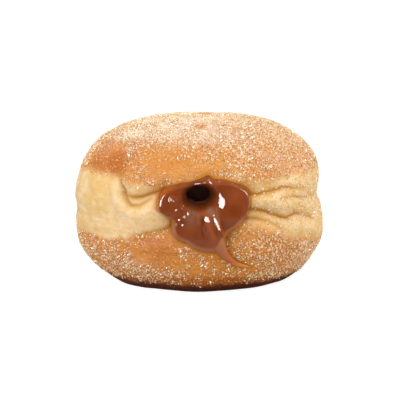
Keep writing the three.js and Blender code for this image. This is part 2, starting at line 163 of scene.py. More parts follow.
def distanceToPath(points, path):
    # distance to the nearest point of a bent line, and how far along the line that is
    nearest = np.full(len(points), np.inf)
    share = np.zeros(len(points))
    for i, (start, end) in enumerate(zip(path[:-1], path[1:])):
        along = end - start
        t = np.clip((points - start) @ along / (along @ along), 0, 1)
        away = np.linalg.norm(points - start - t[:, None] * along, axis=1)
        closer = away < nearest
        nearest[closer] = away[closer]
        share[closer] = (i + t[closer]) / (len(path) - 1)
    return nearest, share


def allCreases():
    lines = [(onSkin(path), deep, shallow, width) for path, deep, shallow, width in creases.values()]
    s = sideCreases
    for i in range(s["count"]):
        level = s["z"] + s["swing"] * math.sin(s["swingTurn"] * i)
        path = [(s["from"] + i * s["step"] + k * s["sweep"] / s["bends"],
                 level + s["wiggle"] * math.sin(s["wiggleTurn"] * k + i)) for k in range(s["bends"] + 1)]
        lines.append((onSkin(path), s["depth"], s["depth"] / 2, s["width"]))
    return lines


creaseLines = allCreases()


def azimuthOf(points):
    return np.degrees(np.arctan2(points[:, 0] * dough["depth"], -points[:, 1] * dough["width"]))


def onPlainSkin(points):
    # the place on the dough before its creases and bumps
    return onSkin(np.stack([azimuthOf(points), points[:, 2]], -1))


def around(points, azimuth, z, across, up):
    # a soft patch on the side of the dough: 1 in its middle, fading over its reach
    turn = (azimuthOf(points) - azimuth + 180) % 360 - 180
    along = np.radians(turn) * np.hypot(points[:, 0], points[:, 1])
    return np.exp(-(along / across) ** 2 - ((points[:, 2] - z) / up) ** 2)


def relief(points):
    lift = np.zeros(len(points))
    for azimuth, z, across, up, height in bumps.values():
        lift += height * around(points, azimuth, z, across, up)
    for path, deep, shallow, width in creaseLines:
        away, share = distanceToPath(points, path)
        depth = deep + (shallow - deep) * share
        swell = np.exp(-((away - dough["puffAway"] * width) / (dough["puffWidth"] * width)) ** 2)
        lift += depth * (dough["puff"] * swell - np.exp(-away / width))
    dish = dough["dish"]
    away = np.hypot(points[:, 0] - dish["x"], points[:, 1] - dish["y"])
    sunk = dish["lift"] * np.exp(-(away / dish["radius"]) ** 2)
    lift += np.where(points[:, 2] > dough["height"] / 2, sunk, 0)
    longest, shortest = dough["longestWave"], dough["shortestWave"]
    for i in range(dough["waves"]):
        polar = math.pi * (i + 0.5) / dough["waves"]
        turn = i * dough["waveTurn"]
        flat = math.sin(polar)
        along = points @ np.array([flat * math.sin(turn), math.cos(polar), flat * math.cos(turn)])
        length = longest * (shortest / longest) ** (i / (dough["waves"] - 1))
        lift += dough["waveHeight"] * np.sin(math.tau * along / length + dough["waveShift"] * i)
    return lift


def doughFront(x, z):
    front = plainFront(x, z)
    return front + relief(np.stack([x, -front, z], -1))


def noiseAt(points, size, octaves=3):
    # smooth noise of about -1 to 1, one feature each size in millimetres
    return np.array([noise.fractal(Vector(p) / size, 1.0, 2.0, octaves) for p in points.tolist()])


# meshes

def closedSkin(name, across, down, place):
    # rows of vertices from a top pole to a bottom pole, with faces that point outwards
    turn = np.arange(across) / across
    rows = np.arange(1, down) / down
    u, v = np.meshgrid(turn, rows)
    zero = np.zeros(1)
    points = np.vstack([place(zero, zero), place(u.ravel(), v.ravel()), place(zero, zero + 1)])
    last = len(points) - 1
    column = np.arange(across)
    beside = (column + 1) % across
    faces = [(0, 1 + a, 1 + b) for a, b in zip(column.tolist(), beside.tolist())]
    for row in range(down - 2):
        top = 1 + row * across
        quads = np.stack([top + column, top + across + column, top + across + beside, top + beside], -1)
        faces.extend(map(tuple, quads.tolist()))
    low = 1 + (down - 2) * across
    faces.extend((low + a, last, low + b) for a, b in zip(column.tolist(), beside.tolist()))
    mesh = bpy.data.meshes.new(name)
    mesh.from_pydata((points * mm).tolist(), [], faces)
    mesh.validate()
    return addObject(name, mesh)


def addObject(name, mesh):
    obj = bpy.data.objects.new(name, mesh)
    bpy.context.scene.collection.objects.link(obj)
    return obj


def pointsOf(obj):
    co = np.zeros(len(obj.data.vertices) * 3, np.float32)
    obj.data.vertices.foreach_get("co", co)
    return co.reshape(-1, 3).astype(float) / mm


def setPoints(obj, points):
    obj.data.vertices.foreach_set("co", (points * mm).astype(np.float32).ravel())
    obj.data.update()


def normalsOf(obj):
    normals = np.zeros(len(obj.data.vertices) * 3, np.float32)
    obj.data.vertices.foreach_get("normal", normals)
    return normals.reshape(-1, 3).astype(float)


def storeMask(obj, name, values):
    mask = obj.data.attributes.new(name, "FLOAT", "POINT")
    mask.data.foreach_set("value", np.clip(values, 0, 1).astype(np.float32))


def applyModifiers(obj):
    evaluated = obj.evaluated_get(bpy.context.evaluated_depsgraph_get())
    mesh = bpy.data.meshes.new_from_object(evaluated)
    old = obj.data
    obj.modifiers.clear()
    obj.data = mesh
    bpy.data.meshes.remove(old)
    mesh.name = obj.name


def combine(target, tool, operation):
    step = target.modifiers.new("combine", "BOOLEAN")
    step.operation = operation
    step.solver = "MANIFOLD"
    step.object = tool
    applyModifiers(target)
    bpy.data.objects.remove(tool)


def triangles(obj):
    obj.data.calc_loop_triangles()
    return len(obj.data.loop_triangles)


# the dough

# vertices round the dough, rows above and below its seam: the one that shows, and one for cutting with
fineRows = (392, 144, 100)
cutterRows = (240, 60, 40)
# how the vertices crowd: towards the front, the top, the base's edge (a latitude) and its middle
rowSpread = {"front": 0.52, "above": 1.3, "baseEdge": 46, "below": 1.2, "base": 12}
doughSurface = {"blisterSize": 5.5, "blisterHeight": 0.2, "poreSize": 1.1, "poreHeight": 0.05,
                "wrinkleSize": 7, "wrinkleStretch": 4, "wrinkleHeight": 0.16,
                "smoothBelow": 0.3, "fadeOver": 3}


def doughSkin(name, rows, grow=0.0):
    across, rowsAbove, rowsBelow = rows
    seam = rowsAbove / (rowsAbove + rowsBelow)
    edge = rowSpread["baseEdge"]

    def place(u, v):
        turn = math.tau * u - math.pi
        azimuth = np.degrees(turn - rowSpread["front"] * np.sin(turn))
        above = np.clip(1 - v / seam, 0, 1) ** rowSpread["above"]
        down = np.clip((v - seam) / (1 - seam), 0, 1)
        below = edge * down ** rowSpread["below"] + (90 - edge) * down ** rowSpread["base"]
        latitude = np.where(v < seam, 90 * above, -below)
        plain = plainPoint(azimuth, latitude)
        points = plain + plainNormal(azimuth, latitude) * (relief(plain) + grow)[:, None]
        points[:, 2] = np.maximum(points[:, 2], -grow)
        return points

    return closedSkin(name, across, rowsAbove + rowsBelow, place)


def roughen(obj):
    # blisters and fine pores, fading out on the base so that it stays flat
    points = pointsOf(obj)
    look = doughSurface
    lift = noiseAt(points, look["blisterSize"]) * look["blisterHeight"]
    lift += noiseAt(points, look["poreSize"], 2) * look["poreHeight"]
    lift += noiseAt(points * [1, 1, look["wrinkleStretch"]], look["wrinkleSize"], 2) * look["wrinkleHeight"]
    fade = np.clip((points[:, 2] - look["smoothBelow"]) / look["fadeOver"], 0, 1)
    points += normalsOf(obj) * (lift * fade)[:, None]
    points[:, 2] = np.maximum(points[:, 2], 0)
    setPoints(obj, points)


pocket = {"x": 1, "y": -13, "z": 31, "halfWidth": 19, "halfDepth": 23, "halfHeight": 10.5,
          "across": 96, "down": 48}
neck = {"x": 1.2, "z": 32, "halfWidth": 10.8, "halfHeight": 8.8, "inner": -24, "outer": -52,
        "across": 96, "down": 32, "endShare": 0.125}


def roundOval(u, x, y, z, halfWidth, halfHeight):
    # points a share u of a turn round upright ovals
    return np.stack([x + halfWidth * np.cos(math.tau * u), y, z + halfHeight * np.sin(math.tau * u)], -1)


def pocketSkin(name, shrink):
    def ringOf(shape, u, y, ring):
        halfWidth, halfHeight = shape["halfWidth"] - shrink, shape["halfHeight"] - shrink
        return roundOval(u, shape["x"], y, shape["z"], halfWidth * ring, halfHeight * ring)

    def placePocket(u, v):
        y = pocket["y"] - (pocket["halfDepth"] - shrink) * np.cos(math.pi * v)
        return ringOf(pocket, u, y, np.sin(math.pi * v))

    def placeNeck(u, v):
        ring = np.minimum(np.minimum(v, 1 - v) / neck["endShare"], 1)
        along = np.clip((v - neck["endShare"]) / (1 - 2 * neck["endShare"]), 0, 1)
        return ringOf(neck, u, neck["outer"] + (neck["inner"] - neck["outer"]) * along, ring)

    whole = closedSkin(name, pocket["across"], pocket["down"], placePocket)
    combine(whole, closedSkin("neck", neck["across"], neck["down"], placeNeck), "UNION")
    return whole


def makeDough():
    body = doughSkin("doughBody", fineRows)
    roughen(body)
    combine(body, pocketSkin("pocket", 0), "DIFFERENCE")
    body.data.shade_smooth()
    print("dough made,", triangles(body), "triangles")
    return body


doughBody = makeDough()


# the caramel

spill = {"x": 1, "z": 31, "thickness": 2.3, "sunk": 1.4, "blend": 0.3, "root": -26,
         "clearance": 0.3, "plugDepth": 1.0, "across": 320, "down": 190, "rimRow": 0.84, "rowSpread": 0.75,
         "voxel": 0.18, "smoothing": 4, "smoothBy": 0.5}
# the rim rises steeply off the dough, then leans in over a band before the face: angle, width of the band
rim = {"foot": 0.42, "footShare": 0.25, "bend": 0.12,
       "band": [(0, 0.9), (40, 1.0), (70, 1.6), (110, 1.8), (140, 1.1), (180, 1.0), (195, 1.8), (220, 1.9),
                (240, 2.4), (262, 3.4), (280, 4.2), (300, 3), (320, 1.6), (345, 1.2), (360, 0.9)]}
# angle and radius of the spill's edge
outline = [
    (0, 15.8), (20, 16.7), (38, 14), (52, 12.3), (70, 10.8), (81, 11.5), (96, 10.4), (115, 10.2),
    (133, 12), (147, 13.7), (158, 15.3), (170, 15.9), (182, 15.2), (190, 12.6), (201, 11.7),
    (212, 13), (224, 13.8), (243, 13), (262, 14.3), (276, 15.1), (285, 15.6), (292, 14.8),
    (301, 13.2), (311, 12.5), (323, 12.2), (340, 14),
]
# middle x and z, half sizes, turn, lift, how flat the top is, how steep the edge is
lobes = {
    "right dome": (12.7, 30.4, 6.6, 8.9, 5.7, 2.8, 1.5, 0.82),
    "left lobe": (-12.2, 35.4, 8.4, 6.6, -12, 1.7, 2.2, 0.5),
    "low lobe": (-2.9, 26.2, 9.4, 6.2, -32, 0.7, 4, 0.5),
    "upper lip": (0.5, 41, 11, 2.2, 0, 0.9, 4, 0.5),
    "blip": (2.9, 42.2, 1.3, 1.3, 0, 2.4, 4, 0.5),
}
# a shallow dip with a trumpet mouth inside it
funnel = {"x": -0.2, "z": 35.4, "halfX": 5.8, "halfZ": 4.2, "drop": 1.2, "dropPower": 4,
          "mouth": 6.5, "mouthShare": 0.84, "mouthPower": 2.6}
# width, then path of (x, z, height)
folds = [
    (2.0, [(-0.8, 30.8, 0.2), (0, 28.7, 1), (0.8, 26, 1.15), (1.8, 23.7, 0.8)]),
    (3.65, [(0.8, 31.5, 0.05), (1.8, 30.35, 0.9), (2.75, 27.7, 2.15), (3.8, 24.6, 2.45), (5.6, 19, 1.6)]),
    (3.8, [(4.2, 31.2, 0.45), (5.1, 29.4, 1.5), (6.3, 24.95, 2.9), (7.6, 21.25, 2.3)]),
]
foldShape = {"crest": 0.5, "roof": 0.855, "roofPower": 1.55, "edgePower": 7.6}
thread = {"path": [(5.3, 23.4, 1.2), (6.2, 19.8, 0.8), (7.6, 16.6, 0.3), (9.5, 14.2, 0.3),
                   (12, 12.3, 0.4), (14.8, 11.1, 0.4), (17.5, 10.3, 0.2)],
          "radii": [2.4, 2.3, 1.85, 1.3, 0.9, 0.6, 0.4], "across": 28, "down": 90, "roundEnd": 0.08}
nozzleHole = {"x": -0.6, "flatEnd": 0.04, "roundEnd": 0.16, "across": 72, "down": 60}
# y, z, half width, half height
holeStations = [(-54, 36.6, 3.7, 2.7), (-45, 36.5, 3.7, 2.7), (-41, 36.1, 3.9, 2.8), (-30, 35.4, 5.1, 4),
                (-17, 34.4, 5, 4.4)]
# x, z, radius
bubbles = [(-9, 35, 1.2), (-8, 34.4, 0.9), (-6.3, 35, 1.1), (-5.8, 32.9, 1.1), (-5, 32, 1.1),
           (-3.5, 31.2, 0.9), (-3.3, 30.3, 0.8), (-4.5, 29, 1.0), (-7.4, 31.3, 0.8), (-5.4, 26.2, 0.7),
           (-6.6, 28, 0.6)]
bubbleHeight = 0.42  # share of the radius


def outlineRadius(degrees):
    # a smooth closed curve through the outline's points
    at = np.array([p[0] for p in outline], float)
    radius = np.array([p[1] for p in outline], float)
    at = np.concatenate([at - 360, at, at + 360])
    radius = np.tile(radius, 3)
    slope = np.gradient(radius, at)
    slope[1:-1] = (radius[2:] - radius[:-2]) / (at[2:] - at[:-2])
    angle = np.asarray(degrees) % 360
    i = np.searchsorted(at, angle, side="right") - 1
    span = at[i + 1] - at[i]
    t = (angle - at[i]) / span
    bend = radius[i] * (2 * t**3 - 3 * t**2 + 1) + radius[i + 1] * (3 * t**2 - 2 * t**3)
    return bend + span * (slope[i] * (t**3 - 2 * t**2 + t) + slope[i + 1] * (t**3 - t**2))


def foldHeight(x, z, width, path):
    # a fold is a leaning roof with steep edges: a long slope to the left and a short one to the right
    crest = foldShape["crest"]
    height = np.zeros_like(x)
    for start, end in zip(path[:-1], path[1:]):
        alongX, alongZ = end[0] - start[0], end[1] - start[1]
        length = math.hypot(alongX, alongZ)
        t = ((x - start[0]) * alongX + (z - start[1]) * alongZ) / length**2
        past = np.maximum(np.maximum(-t, t - 1), 0) * length / (width / 2)
        side = (alongX * (z - start[1]) - alongZ * (x - start[0])) / length / (width / 2)
        off = np.where(side < crest, (crest - side) / (1 + crest), (side - crest) / (1 - crest))
        top = start[2] + (end[2] - start[2]) * np.clip(t, 0, 1)
        out = np.minimum(np.hypot(off, past), 1)
        roof = 1 - foldShape["roof"] * out ** foldShape["roofPower"]
        height = np.maximum(height, top * roof * np.sqrt(1 - out ** foldShape["edgePower"]))
    return height


def fromMiddle(x, z, oval):
    # 0 in the middle of an oval, 1 on its edge
    return np.hypot((x - oval["x"]) / oval["halfX"], (z - oval["z"]) / oval["halfZ"])


def spillHeight(x, z):
    heights = [np.zeros_like(x)]
    for lobeX, lobeZ, halfX, halfZ, turn, lift, flatTop, edge in lobes.values():
        a = math.radians(turn)
        along = ((x - lobeX) * math.cos(a) + (z - lobeZ) * math.sin(a)) / halfX
        across = ((z - lobeZ) * math.cos(a) - (x - lobeX) * math.sin(a)) / halfZ
        heights.append(lift * np.maximum(1 - np.hypot(along, across) ** flatTop, 0) ** edge)
    heights += [foldHeight(x, z, width, path) for width, path in folds]
    blend = spill["blend"]
    highest = np.max(heights, axis=0)
    height = highest + blend * np.log(sum(np.exp((h - highest) / blend) for h in heights))
    away = fromMiddle(x, z, funnel)
    height -= funnel["drop"] * np.exp(-away ** funnel["dropPower"])
    height -= funnel["mouth"] * np.exp(-(away / funnel["mouthShare"]) ** funnel["mouthPower"])
    for middleX, middleZ, radius in bubbles:
        away = np.hypot(x - middleX, z - middleZ) / radius
        height += bubbleHeight * radius * np.sqrt(np.maximum(1 - away**2, 0))
    return spill["thickness"] + height


def rimShape(angle, inset):
    # 0 at the outline, 1 on the face
    at, width = np.array(rim["band"], float).T
    t = inset / np.interp(angle % 360, at, width)
    foot = np.sqrt(1 - (1 - np.minimum(t / rim["footShare"], 1)) ** 2)
    leaning = rim["foot"] * foot + (1 - rim["foot"]) * t
    bent = np.clip(leaning - 1 + rim["bend"], 0, 2 * rim["bend"])
    return np.minimum(leaning, 1 + rim["bend"]) - bent**2 / (4 * rim["bend"])


def spillSkin():
    rimRow = spill["rimRow"]

    def place(u, v):
        angle = 360 * u
        reach = outlineRadius(angle)
        front = v < rimRow
        outwards = (np.minimum(v, rimRow) / rimRow) ** spill["rowSpread"]
        share = np.clip(np.where(front, outwards, (1 - v) / (1 - rimRow)), 0, 1)

        def at(part):
            return (spill["x"] + reach * part * np.cos(np.radians(angle)),
                    spill["z"] + reach * part * np.sin(np.radians(angle)))

        x, z = at(share)
        edge = doughFront(*at(1)) - spill["sunk"]
        face = plainFront(x, z) + spillHeight(x, z)
        rise = rimShape(angle, reach * (1 - share)) * (face - edge)
        y = np.where(front, -(edge + rise), -(edge * share - spill["root"] * (1 - share)))
        return np.stack([x, y, z], -1)

    return closedSkin("caramelSpill", spill["across"], spill["down"], place)


def smoothPath(points, t):
    # a curve through the points, t from 0 to 1
    points = np.vstack([2 * points[0] - points[1], points, 2 * points[-1] - points[-2]])
    along = np.clip(t, 0, 1) * (len(points) - 3)
    i = np.minimum(along.astype(int), len(points) - 4)
    f = (along - i)[:, None]
    p0, p1, p2, p3 = points[i], points[i + 1], points[i + 2], points[i + 3]
    bend = (2 * p0 - 5 * p1 + 4 * p2 - p3) * f**2
    return 0.5 * (2 * p1 + (p2 - p0) * f + bend + (3 * p1 - p0 - 3 * p2 + p3) * f**3)


def threadRadius(share):
    at = np.arange(len(thread["radii"]))
    return np.interp(share * at[-1], at, thread["radii"])


def threadSkin(step=0.001):
    flat = np.array(thread["path"], float)
    path = np.stack([flat[:, 0], -plainFront(flat[:, 0], flat[:, 1]) - flat[:, 2], flat[:, 1]], -1)

    def place(u, v):
        centre = smoothPath(path, v)
        tangent = smoothPath(path, v + step) - smoothPath(path, v - step)
        tangent /= np.linalg.norm(tangent, axis=1, keepdims=True)
        side = np.cross(np.array([0.0, -1.0, 0.0]), tangent)
        side /= np.linalg.norm(side, axis=1, keepdims=True)
        lift = np.cross(side, tangent)
        end = np.minimum(v, 1 - v) / thread["roundEnd"]
        radius = (threadRadius(v) * np.sqrt(1 - np.maximum(1 - end, 0) ** 2))[:, None]
        turn = (math.tau * u)[:, None]
        return centre + radius * (side * np.cos(turn) + lift * np.sin(turn))

    return closedSkin("thread", thread["across"], thread["down"], place)


def holeSkin():
    flatEnd, roundEnd = nozzleHole["flatEnd"], nozzleHole["roundEnd"]
    stations = np.array(holeStations, float).T
    at = np.arange(len(holeStations))

    def place(u, v):
        along = np.clip((v - flatEnd) / (1 - flatEnd - roundEnd), 0, 1) * at[-1]
        y, z, halfWidth, halfHeight = (np.interp(along, at, values) for values in stations)
        tip = np.clip((v - 1 + roundEnd) / roundEnd, 0, 1)
        ring = np.minimum(v / flatEnd, np.sqrt(1 - tip**2))
        return roundOval(u, nozzleHole["x"], y + halfHeight * tip, z, halfWidth * ring, halfHeight * ring)

    return closedSkin("nozzleHole", nozzleHole["across"], nozzleHole["down"], place)


def makeCaramel():
    caramel = spillSkin()
    combine(caramel, threadSkin(), "UNION")
    combine(caramel, holeSkin(), "DIFFERENCE")
    remesh = caramel.modifiers.new("melt", "REMESH")
    remesh.mode = "VOXEL"
    remesh.voxel_size = spill["voxel"] * mm
    smooth = caramel.modifiers.new("flow", "SMOOTH")
    smooth.factor = spill["smoothBy"]
    smooth.iterations = spill["smoothing"]
    applyModifiers(caramel)
    combine(caramel, doughSkin("grownDough", cutterRows, spill["clearance"]), "DIFFERENCE")
    combine(caramel, pluggedPocket(), "UNION")
    caramel.data.shade_smooth()
    print("caramel made,", triangles(caramel), "triangles")
    return caramel


def pluggedPocket():
    # what fills the pocket and the neck, out to just under the dough's skin
    plug = pocketSkin("plug", spill["clearance"])
    combine(plug, doughSkin("shrunkDough", cutterRows, -spill["plugDepth"]), "INTERSECT")
    combine(plug, holeSkin(), "DIFFERENCE")
    return plug


caramelSpill = makeCaramel()


# where the dough is browned, creased and sugared, and where shade is painted on it

# azimuth and height of the waist band's upper and lower edge
bandTop = [(-180, 40), (-120, 38.5), (-80, 39.2), (-64, 39.7), (-56, 40), (-50, 40.7), (-42, 41),
           (-38, 40.2), (-33, 39.2), (-28, 38.6), (-22, 38.2), (-10, 40), (10, 41), (21, 40.3), (29, 39.7),
           (40, 40.4), (50, 40.9), (60, 40.6), (74, 40), (120, 39), (180, 40)]
bandBottom = [(-180, 17.5), (-120, 16.5), (-77, 17.8), (-60, 18.9), (-51, 18.1), (-40, 18.8), (-35, 19.6),
              (-30, 21.2), (-22, 22.8), (-16, 23.6), (-10, 25), (12, 26.5), (20, 26), (24, 24.9), (28, 24.5),
              (32, 23), (40, 20.4), (44, 18.9), (55, 16.4), (68, 14.6), (80, 13.5), (130, 16), (180, 17.5)]
# how far the edges wander at each size of noise, and where they fade; more ragged on the right
bandEdges = {"raggedSize": 7, "fineSize": 2.2, "top": 1.4, "bottom": 1.1, "rightExtra": 0.9, "fine": 0.6,
             "topFade": (-2.2, 1.4), "bottomFade": (-1.3, 1.0), "rightFade": (8, 20), "rightWider": 2}
# in all patches: azimuth, height, reach along, reach up, strength
# the dark patches darken the crust and the waist: browner frying in some, painted shade in others, such as
# beside the fold down the left shoulder and near the table
darkPatches = [
    (-45, 43, 3.2, 2.2, 1.9), (-49, 45, 6, 3.5, 0.5), (-62, 42.6, 5, 2.2, 0.7), (-15, 47, 9, 4, 0.35),
    (-20, 16.5, 11, 6, 0.5), (5, 15, 12, 4, 0.4), (35, 44, 9, 4, 0.25), (-70, 14, 12, 5, 0.3),
    (34, 20.5, 5, 2, 0.6), (-27, 20.3, 6, 1.4, 0.5), (60, 13, 14, 5, 0.3), (42, 12, 9, 5, 0.4),
    (-50, 11, 12, 4, 0.3), (-64, 48, 10, 5, 0.8), (-55, 48, 5, 2.5, -0.5), (-52, 33, 9, 3.5, 0.6),
    (52, 35, 14, 4, 0.4), (30, 33, 8, 5, 0.15), (-58, 43.6, 4, 2, -0.4), (-48, 33, 5, 6, 0.25),
    (-19, 20.5, 8, 2, 0.2), (5, 4.5, 16, 3, 0.5)]
sugarPatches = [
    (-49, 13.9, 6, 4, 0.35), (-62, 12, 13, 5, 0.2), (-31, 9.6, 7, 3, 0.32), (-11, 8, 5, 2, 0.4),
    (-22, 3, 12, 1.6, 0.2), (26, 17.5, 7, 5, 0.45), (36, 22, 6, 2, 0.2), (45, 11, 13, 6, 0.3),
    (66, 12, 12, 6, 0.4), (-20, 15.8, 9, 5.5, -0.7), (3, 11, 10, 3, -0.2), (-15, 46.5, 10, 5, -0.5),
    (5, 45, 6, 3, -0.3), (-46, 43.5, 6, 4, -0.55), (-61, 42, 5, 3, -0.3), (-55, 52.6, 7, 1.2, 0.45),
    (-66, 47, 10, 5, -0.45), (12, 47.5, 10, 4, 0.15), (50, 47, 18, 6, 0.1), (22, 38.6, 6, 2, 0.4),
    (-46, 44, 3, 3, -0.4), (5, 5, 14, 2.5, -0.4)]
# painted shade under the brow, on the waist either side of the caramel
browShadePatches = [(24, 38.6, 6, 2.6, 0.5), (-24, 37, 6, 1.5, 0.25)]
bloomPatches = [(-60, 52.4, 6, 1.3, 0.5), (-31, 10, 7, 3, 0.2), (62, 9, 12, 5, 0.15),
                (-64, 49.5, 9, 3.5, 0.2), (-49, 48.5, 4, 2, 0.15)]
# x, y and reach along each of two spots on the top with little sugar, and the heights they fade in over
bareSpots = [(0.2, -18.8, 2.2, 2.4), (2.6, 7.5, 2.8, 4)]
bareSpotFade = (45, 50)
# the fold down the left shoulder: distances from its line, and the patches beside it
shoulder = {"bareFade": (0.5, -1.5), "bare": (-50.5, 46, 6.5, 4),
            "sugaredFade": (0.5, 2), "sugared": (-40, 46.5, 4, 4)}
# painted shade along the creases: the depth that gets it in full, its reach in widths of the crease, and how
# sharply it fades
creaseShading = {"fullDepth": 1.4, "reach": 0.6, "power": 1.6}
# millimetres out from the caramel that its fat soaks, darkened also as painted shade where the dough meets
# it
soakAndShade = {"reach": 0.9, "power": 1.3, "thread": 1.5}
# below, each fade is the height where a tone starts and the one where it is full
# the dark foot: darker fried crust with painted shade where it meets the table
shadedSkirt = {"fade": (4.8, 2.2), "wander": 0.8}
# low and foot darken the crust towards the bottom: darker frying, with painted shade near the table
brownedAndShaded = {"plain": 0.5, "unevenSize": 16, "uneven": 0.32, "bareSpot": 0.5, "bareSide": 0.3,
           "sugaredSide": 0.6, "low": 0.2, "lowFade": (12, 2), "foot": 0.9, "footFade": (8, 3.5),
           "most": 1.4}
# a white bloom over the top
bloom = {"x": -7, "reach": 20, "fade": (49.5, 55.5), "strength": 0.75, "unevenSize": 5, "uneven": 1.1}
# the share of the crust under grains, how it drifts, and what little there is on the waist
cover = {"plain": 0.42, "top": 0.2, "topFade": (42, 54), "least": 0.03, "most": 0.9, "clearFade": (2.2, 6),
         "broadSize": 9, "broad": 0.3, "driftSize": 2.8, "drift": 0.25, "lowDrift": 0.35,
         "lowFade": (26, 20), "sugaredSide": 0.2, "bareSide": -0.6, "bareSpot": -0.5,
         "waistPatch": (55, 32, 32, 10), "waist": 0.5, "waistLeast": 0.002, "inCreases": -0.7}
# the same for the cinnamon and the dust between the grains
dust = {"plain": 0.22, "upper": 0.28, "upperFade": (30, 42), "top": 0.5, "topFade": (44, 56),
        "bareSide": -0.3, "bareSpot": -0.5, "drift": 0.4, "driftLimits": (-0.2, 0.1), "least": 0.05,
        "onWaist": 0.28}
# how dark the grains are: pale in the bloom and on the waist, golden where there are few of them
grainTone = {"inBloom": -0.8, "onWaist": 0.85, "onCrust": 0.15, "sugaredSide": 0.2,
             "golden": 0.7, "few": (0.05, 0.45)}


def softStep(values, low, high):
    # 0 at low, 1 at high, either way round
    t = np.clip((values - low) / (high - low), 0, 1)
    return t * t * (3 - 2 * t)


def edgeAt(points, edge):
    azimuth, z = np.array(edge, float).T
    return np.interp(azimuthOf(points), azimuth, z)


def patchSum(points, patches):
    return sum(strength * around(points, a, z, across, up) for a, z, across, up, strength in patches)


def pastSpill(points):
    # how far outside the spill's outline each point is, as seen from the front
    x = points[:, 0] - spill["x"]
    z = points[:, 2] - spill["z"]
    return np.hypot(x, z) - outlineRadius(np.degrees(np.arctan2(z, x)))


threadLine = np.array([stop[:2] for stop in thread["path"]], float)


def underCaramel(points, spare=0.6, besideThread=0.3):
    away, share = distanceToPath(points[:, [0, 2]], threadLine)
    beside = away < threadRadius(share) + besideThread
    return (points[:, 1] < 0) & ((pastSpill(points) < spare) | beside)


# the caramel's fat stain round it, with painted shade where the dough meets it
def soakAndShadeByCaramel(points):
    beside, _ = distanceToPath(points[:, [0, 2]], threadLine[:-1])
    away = np.maximum(np.minimum(pastSpill(points), beside - soakAndShade["thread"]), 0)
    return np.exp(-(away / soakAndShade["reach"]) ** soakAndShade["power"]) * (points[:, 1] < 0)


def crustOn(points, fine):
    # the browned top and bottom, with the waist between them
    e = bandEdges
    height = points[:, 2]
    ragged = noiseAt(points, e["raggedSize"])
    right = softStep(points[:, 0], *e["rightFade"])
    over = height - edgeAt(points, bandTop) + e["top"] * ragged + e["fine"] * fine
    wander = (e["bottom"] + e["rightExtra"] * right) * ragged + e["fine"] * fine
    under = (edgeAt(points, bandBottom) - height + wander) / (1 + e["rightWider"] * right)
    return np.maximum(softStep(over, *e["topFade"]), softStep(under, *e["bottomFade"]))


# painted shade in the creases and under the brow, fullest in deep creases
def creaseShadeOn(points):
    plain = onPlainSkin(points)
    creaseShade = np.zeros(len(points))
    for path, deep, shallow, width in creaseLines:
        away, share = distanceToPath(plain, path)
        depth = deep + (shallow - deep) * share
        line = np.exp(-(away / (creaseShading["reach"] * width)) ** creaseShading["power"])
        creaseShade = np.maximum(creaseShade, np.minimum(depth / creaseShading["fullDepth"], 1) * line)
    return np.maximum(creaseShade, patchSum(points, browShadePatches))


def bareSpotsOn(points):
    spots = sum(np.exp(-((points[:, 0] - x) / across) ** 2 - ((points[:, 1] - y) / along) ** 2)
                for x, y, across, along in bareSpots)
    return spots * softStep(points[:, 2], *bareSpotFade)


def shoulderSides(points):
    # the bare side of the fold down the left shoulder, and the sugared side
    azimuth, z = np.array(creases["fold down the left shoulder"][0][::-1], float).T
    beside = azimuthOf(points) - np.interp(points[:, 2], z, azimuth)
    bare = softStep(beside, *shoulder["bareFade"]) * around(points, *shoulder["bare"])
    sugared = softStep(beside, *shoulder["sugaredFade"]) * around(points, *shoulder["sugared"])
    return bare, sugared


def bloomOn(points):
    b = bloom
    middle = np.exp(-((points[:, 0] - b["x"]) / b["reach"]) ** 2) * softStep(points[:, 2], *b["fade"])
    white = b["strength"] * middle + patchSum(points, bloomPatches)
    return np.clip(white * (1 + b["uneven"] * noiseAt(points, b["unevenSize"])), 0, 1)


